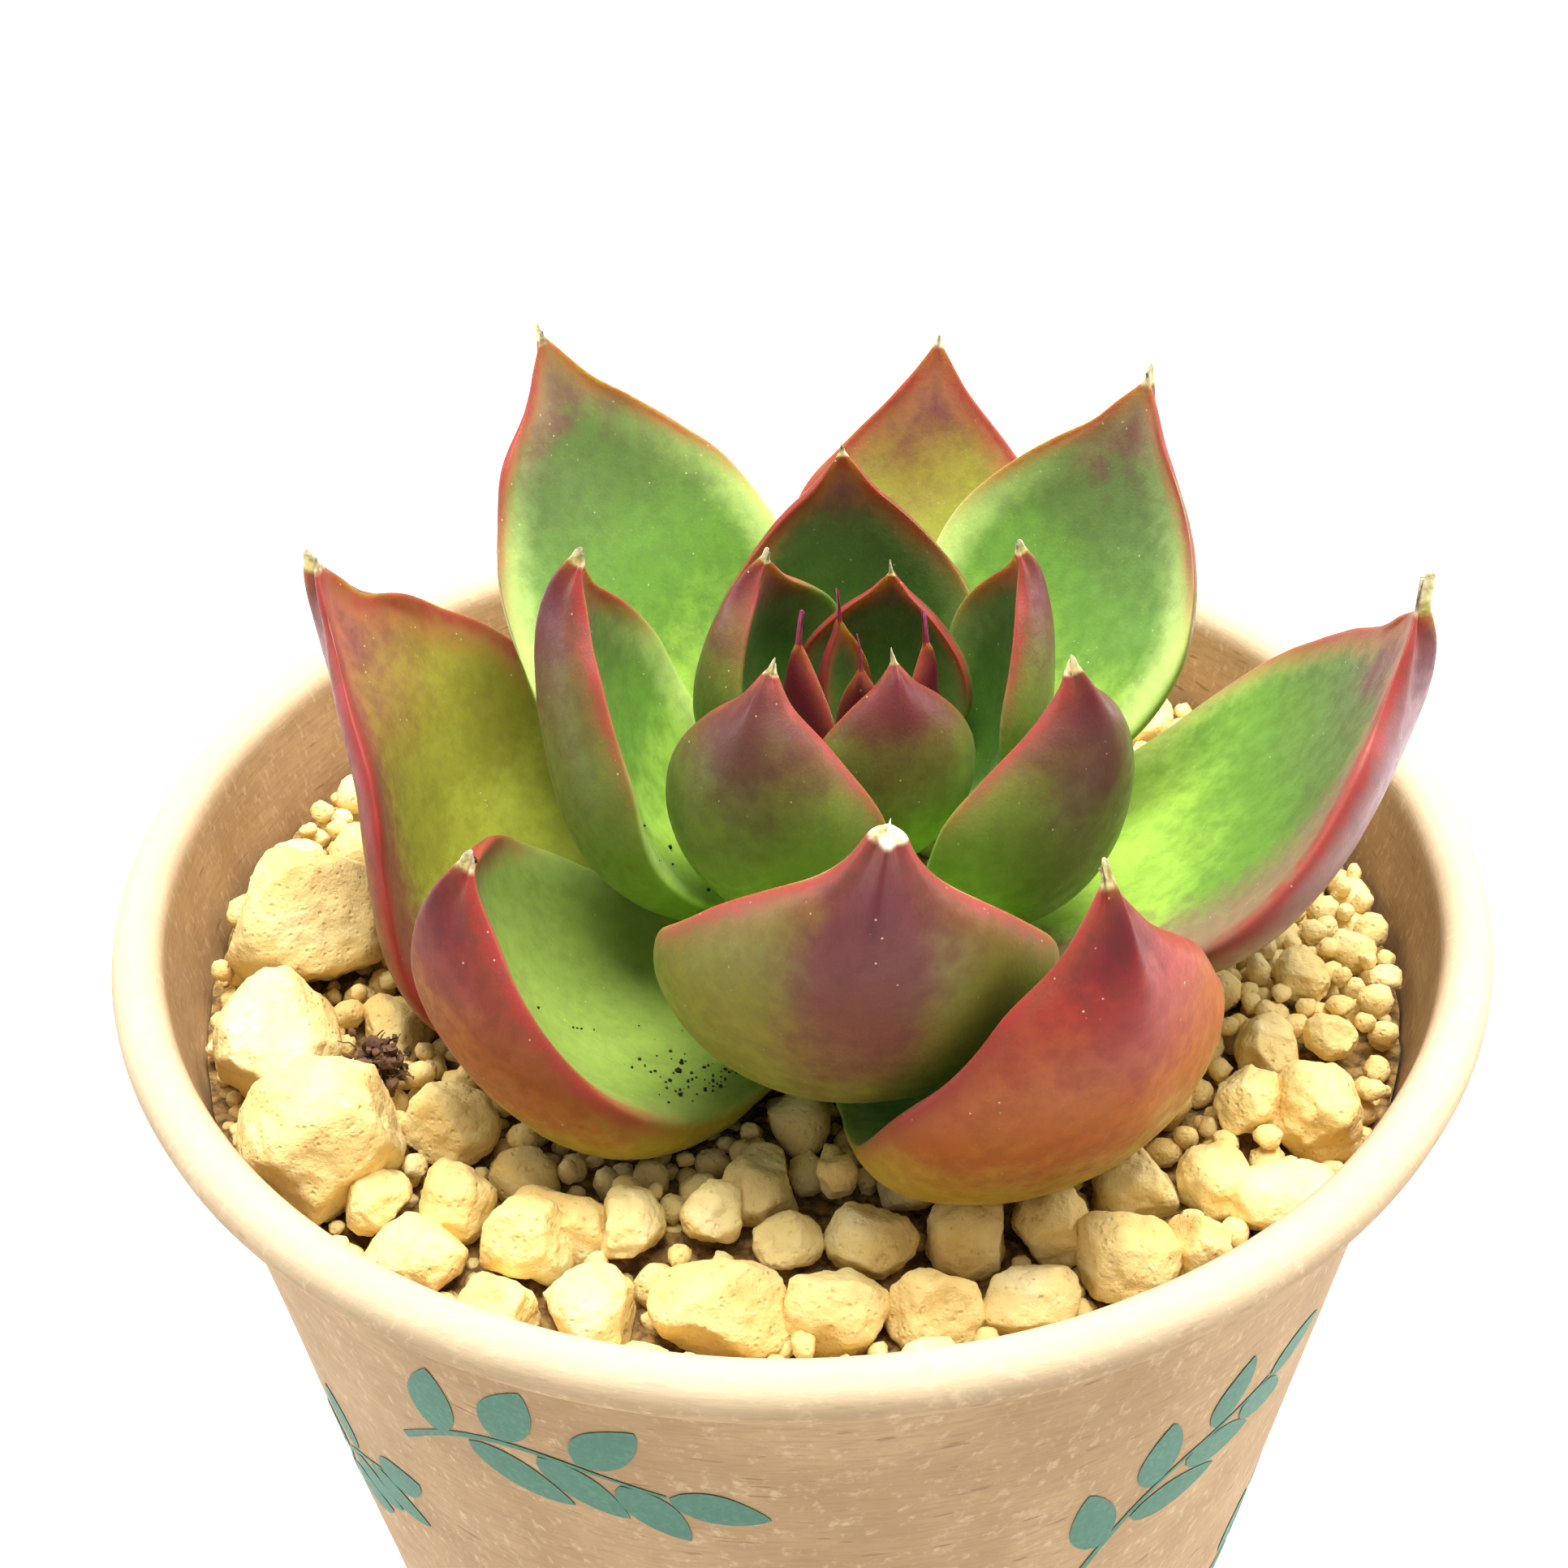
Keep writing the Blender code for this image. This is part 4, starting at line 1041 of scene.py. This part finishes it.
# Each leaf: its bristle's length and radius (mm), upper and lower colours, the blush, the
# margin, the glow beside it, the colours of the bristle, and on two of them a flank.
LEAF_LOOKS = {
    "outer_1": ((0.5, 0.3), YELLOW, OLIVE_BACK, ("#74343A", 0.15, 0.6, 0.1), (0.0, 1.3), 0.0, DRY,
                "#86403A"),
    "outer_2": ((0.6, 0.2), DEEP, FIRE_BACK, ("#842828", 0.72, 1.05, 0.06), (0.4, 0.7), 0.2, DRY),
    "outer_3": ((0.5, 0.2), YELLOW, OLIVE_BACK, ("#8A4A44", 0.55, 0.95, 0.1), (0.3, 1.0), 0.3, DRY),
    "outer_4": ((0.4, 0.26), LIME, DUSK_BACK, ("#742A2A", 0.66, 1.0, 0.08), (0.4, 0.9), 0.2, DRY),
    "outer_5": ((1.5, 0.15), GREEN, GREY_BACK, ("#86606A", 0.35, 0.85, 0.1), (0.3, 0.9), 0.4, DRY,
                "#8E6E5C"),
    "outer_6": ((0.5, 0.22), GREEN, OLIVE_BACK, ("#7C4A50", 0.55, 0.95, 0.1), (0.5, 0.5), 0.8, DRY),
    "outer_7": ((0.3, 0.62), GREEN, OLIVE_BACK, ("#66282E", 0.66, 0.98, 0.26), (0.45, 0.9), 0.3,
                ("#B89C74", "#F2E6CC")),
    "outer_8": ((0.5, 0.22), GREEN, OLIVE_BACK, ("#7C4A50", 0.55, 0.95, 0.1), (0.5, 0.5), 0.8, DRY),
    "middle_1": ((0.4, 0.26), GREEN, GREEN_BACK, ("#5E2C30", 0.62, 1.0, 0.06), (0.5, 0.7), 0.5, DRY),
    "middle_2": ((0.4, 0.36), GREEN, GREEN_BACK, ("#562828", 0.60, 0.95, 0.1), (0.5, 0.7), 0.4, DRY),
    "middle_3": ((0.4, 0.2), DEEP, GREEN_BACK, ("#643638", 0.60, 1.0, 0.1), (0.5, 0.8), 0.3, DRY),
    "middle_4": ((0.4, 0.3), DEEP, GREEN_BACK, ("#5A2C2C", 0.58, 0.95, 0.08), (0.45, 0.7), 0.3, DRY),
    "inner_1": ((0.4, 0.2), DEEP, GREEN_BACK, ("#642C30", 0.58, 0.95, 0.08), (0.5, 0.6), 0.3, DRY),
    "inner_2": ((0.5, 0.16), DEEP, GREEN_BACK, ("#6C2C2E", 0.62, 0.98, 0.06), (0.5, 0.5), 0.3, DRY),
    "inner_3": ((0.5, 0.16), DEEP, GREEN_BACK, ("#601C26", 0.50, 0.88, 0.06), (0.45, 0.5), 0.3, DRY),
    "inner_4": ((0.5, 0.14), DEEP, GREEN_BACK, ("#5A2028", 0.45, 0.85, 0.06), (0.35, 0.5), 0.2, DRY),
}
BUD_BACK = ((0.0, "#4E5E2A"), (0.3, "#642C2E"), (0.6, "#6E1C2C"), (1.0, "#6C1030"))
BUD_LOOK = ((1.5, 0.11), DEEP, BUD_BACK, ("#641026", 0.35, 0.8, 0.05), (0.1, 0.5), 0.1, CRIMSON)

leaf_pieces = {}
for number in range(1, 5):
    LEAF_LOOKS["bud_%d" % number] = BUD_LOOK
for short, (bristle, *look) in LEAF_LOOKS.items():
    detail = 2 if short.startswith(("inner", "bud")) else 3
    leaf = model_leaf("leaf_" + short, bristle, detail)
    finish = leaf_skin("skin_" + short, *look)
    leaf_pieces[short] = settle_piece(leaf, "rosette_leaf_" + short, finish)
    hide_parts("leaf_" + short)


# ---- dry root tuft -----------------------------------------------------------------------
# A dead surface root frays into a knot of wiry strands beside the lowest leaf, caked with soil.
TUFT_STRANDS = 60
TUFT_CRUMBS = 90
STRAND_SIDES = 5
STRAND_STEPS = 7
STRAND_TAPER = (0.88, 0.88, 0.88)  # at each step


def strand(seat, heading, length, radius):
    """One wiry strand, extruded from its foot and wandering as it goes."""
    turn = heading.to_track_quat("Z", "Y").to_euler()
    wire = start(bpy.ops.mesh.primitive_circle_add, vertices=STRAND_SIDES, radius=radius,
                 fill_type="NGON", location=seat, rotation=turn)
    for _ in range(STRAND_STEPS):
        wander = Vector([draw.gauss(0, 0.35) for _ in range(3)])
        heading = (heading + wander + Vector((0, 0, -0.06))).normalized()
        step = heading * length / STRAND_STEPS
        bpy.ops.mesh.extrude_region_move(TRANSFORM_OT_translate={"value": step})
        bpy.ops.transform.resize(value=STRAND_TAPER)
    face_out()
    return wire


def crumb(place, size):
    """A crumb of soil: a small block with its corners knocked about."""
    bit = start(bpy.ops.mesh.primitive_ico_sphere_add, subdivisions=1, radius=size, location=place)
    bpy.ops.transform.resize(value=[draw.uniform(0.6, 1.3) for _ in range(3)])
    bpy.ops.transform.vertex_random(offset=size * 0.35, seed=draw.randrange(1, 9999))
    bpy.ops.object.mode_set(mode="OBJECT")
    return bit


tuft_low, tuft_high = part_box("dry_rootlet")
tuft_seat = (tuft_low + tuft_high) / 2
tuft = []
for _ in range(TUFT_STRANDS):
    away = Vector((draw.gauss(0, 1), draw.gauss(0, 1) - 0.5, abs(draw.gauss(0, 0.5)))).normalized()
    tuft.append(strand(tuft_seat + away * draw.uniform(0.0, 0.5) * MM, away,
                       draw.uniform(0.8, 2.6) * MM, draw.uniform(0.07, 0.15) * MM))
for _ in range(TUFT_CRUMBS):
    spot = tuft_seat + Vector([draw.gauss(0, 0.75) for _ in range(3)]) * MM
    tuft.append(crumb(spot, draw.uniform(0.15, 0.45) * MM))
tuft_piece = settle_piece(joined(tuft), "dry_root_tuft", bark_finish, 40)
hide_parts("dry_rootlet")


# ---- soil crumbs on the leaves -----------------------------------------------------------
# Crumbs of potting soil that were spilt in planting lie on the upper faces of a few leaves.
def spill(short, count, heart, spread):
    """Crumbs on one leaf's upper face, thickest round a point of it (mm from the cup's axis)."""
    mesh = leaf_pieces[short].data
    under = read(mesh, "under")
    spots, weights = [], []
    for vertex in mesh.vertices:
        away = math.hypot(vertex.co.x / MM - heart[0], vertex.co.y / MM - heart[1]) / spread
        if under[vertex.index] < 0.05 and away < 3:
            spots.append(vertex)
            weights.append(math.exp(-away * away))
    made = []
    for vertex in draw.choices(spots, weights, k=count):
        size = draw.uniform(0.05, 0.2) * MM * draw.uniform(0.4, 1.0)
        made.append(crumb(vertex.co + vertex.normal * size * 0.5, size))
    return made


crumbs = spill("outer_4", 80, (-5.3, -15.3), 2.4) + spill("outer_4", 20, (-11, -13), 4.0)
crumbs += spill("middle_1", 16, (-5.5, -4.0), 2.5)
settle_piece(joined(crumbs), "spilt_soil", soil_finish, 60)


# ---- floor, light and camera -------------------------------------------------------------
# A pale seamless floor, a broad light above and behind, and two soft ones at the sides.
LIT_POINT = Vector((0, 0, 0.09))


def soft_light(name, place, power, size, colour):
    """A square light that faces the plant: power in watts, side in metres."""
    light = bpy.data.lights.new(name, "AREA")
    light.energy, light.size, light.color = power, size, colour
    lamp = bpy.data.objects.new(name, light)
    lamp.location = place
    lamp.rotation_euler = (LIT_POINT - Vector(place)).to_track_quat("-Z", "Y").to_euler()
    bpy.context.scene.collection.objects.link(lamp)


bpy.ops.object.select_all(action="DESELECT")
bpy.ops.mesh.primitive_plane_add(size=6)
floor = bpy.context.object
floor.name = "floor"
floor_finish = Finish("pale_floor", 0.9, Emission_Color=(1, 1, 1, 1), Emission_Strength=0.35)
floor.data.materials.append(floor_finish.done(paint("#F4F3F0")))

soft_light("top_light", (0.06, 0.06, 0.66), 10.0, 0.45, (1.0, 0.99, 0.96))
soft_light("left_light", (-0.55, 0.16, 0.30), 2.2, 0.4, (0.95, 0.97, 1.0))
soft_light("right_light", (0.55, 0.16, 0.30), 2.6, 0.4, (1.0, 0.99, 0.97))

world = bpy.data.worlds.new("white_tent")
world.use_nodes = True
sky = world.node_tree.nodes["Background"]
sky.inputs["Color"].default_value = (1, 1, 1, 1)
sky.inputs["Strength"].default_value = 0.45
bpy.context.scene.world = world
bpy.context.scene.view_settings.view_transform = "Standard"

CAMERA_PLACE = Vector((0, -101.4, 171.6)) * MM
CAMERA_LENS = 49.86
PITCH, YAW, ROLL = math.radians(36.56), math.radians(-0.42), math.radians(-1.45)
ahead = Vector((math.sin(YAW) * math.cos(PITCH), math.cos(YAW) * math.cos(PITCH), -math.sin(PITCH)))
right = Vector((math.cos(YAW), -math.sin(YAW), 0))
up = right.cross(ahead)
tilted_right = right * math.cos(ROLL) + up * math.sin(ROLL)
tilted_up = up * math.cos(ROLL) - right * math.sin(ROLL)
camera = bpy.data.objects.new("camera", bpy.data.cameras.new("camera"))
camera.data.lens = CAMERA_LENS
camera.data.clip_start = 5 * MM
facing = Matrix((tilted_right, tilted_up, -ahead)).transposed()
camera.matrix_world = Matrix.Translation(CAMERA_PLACE) @ facing.to_4x4()
bpy.context.scene.collection.objects.link(camera)
bpy.context.scene.camera = camera
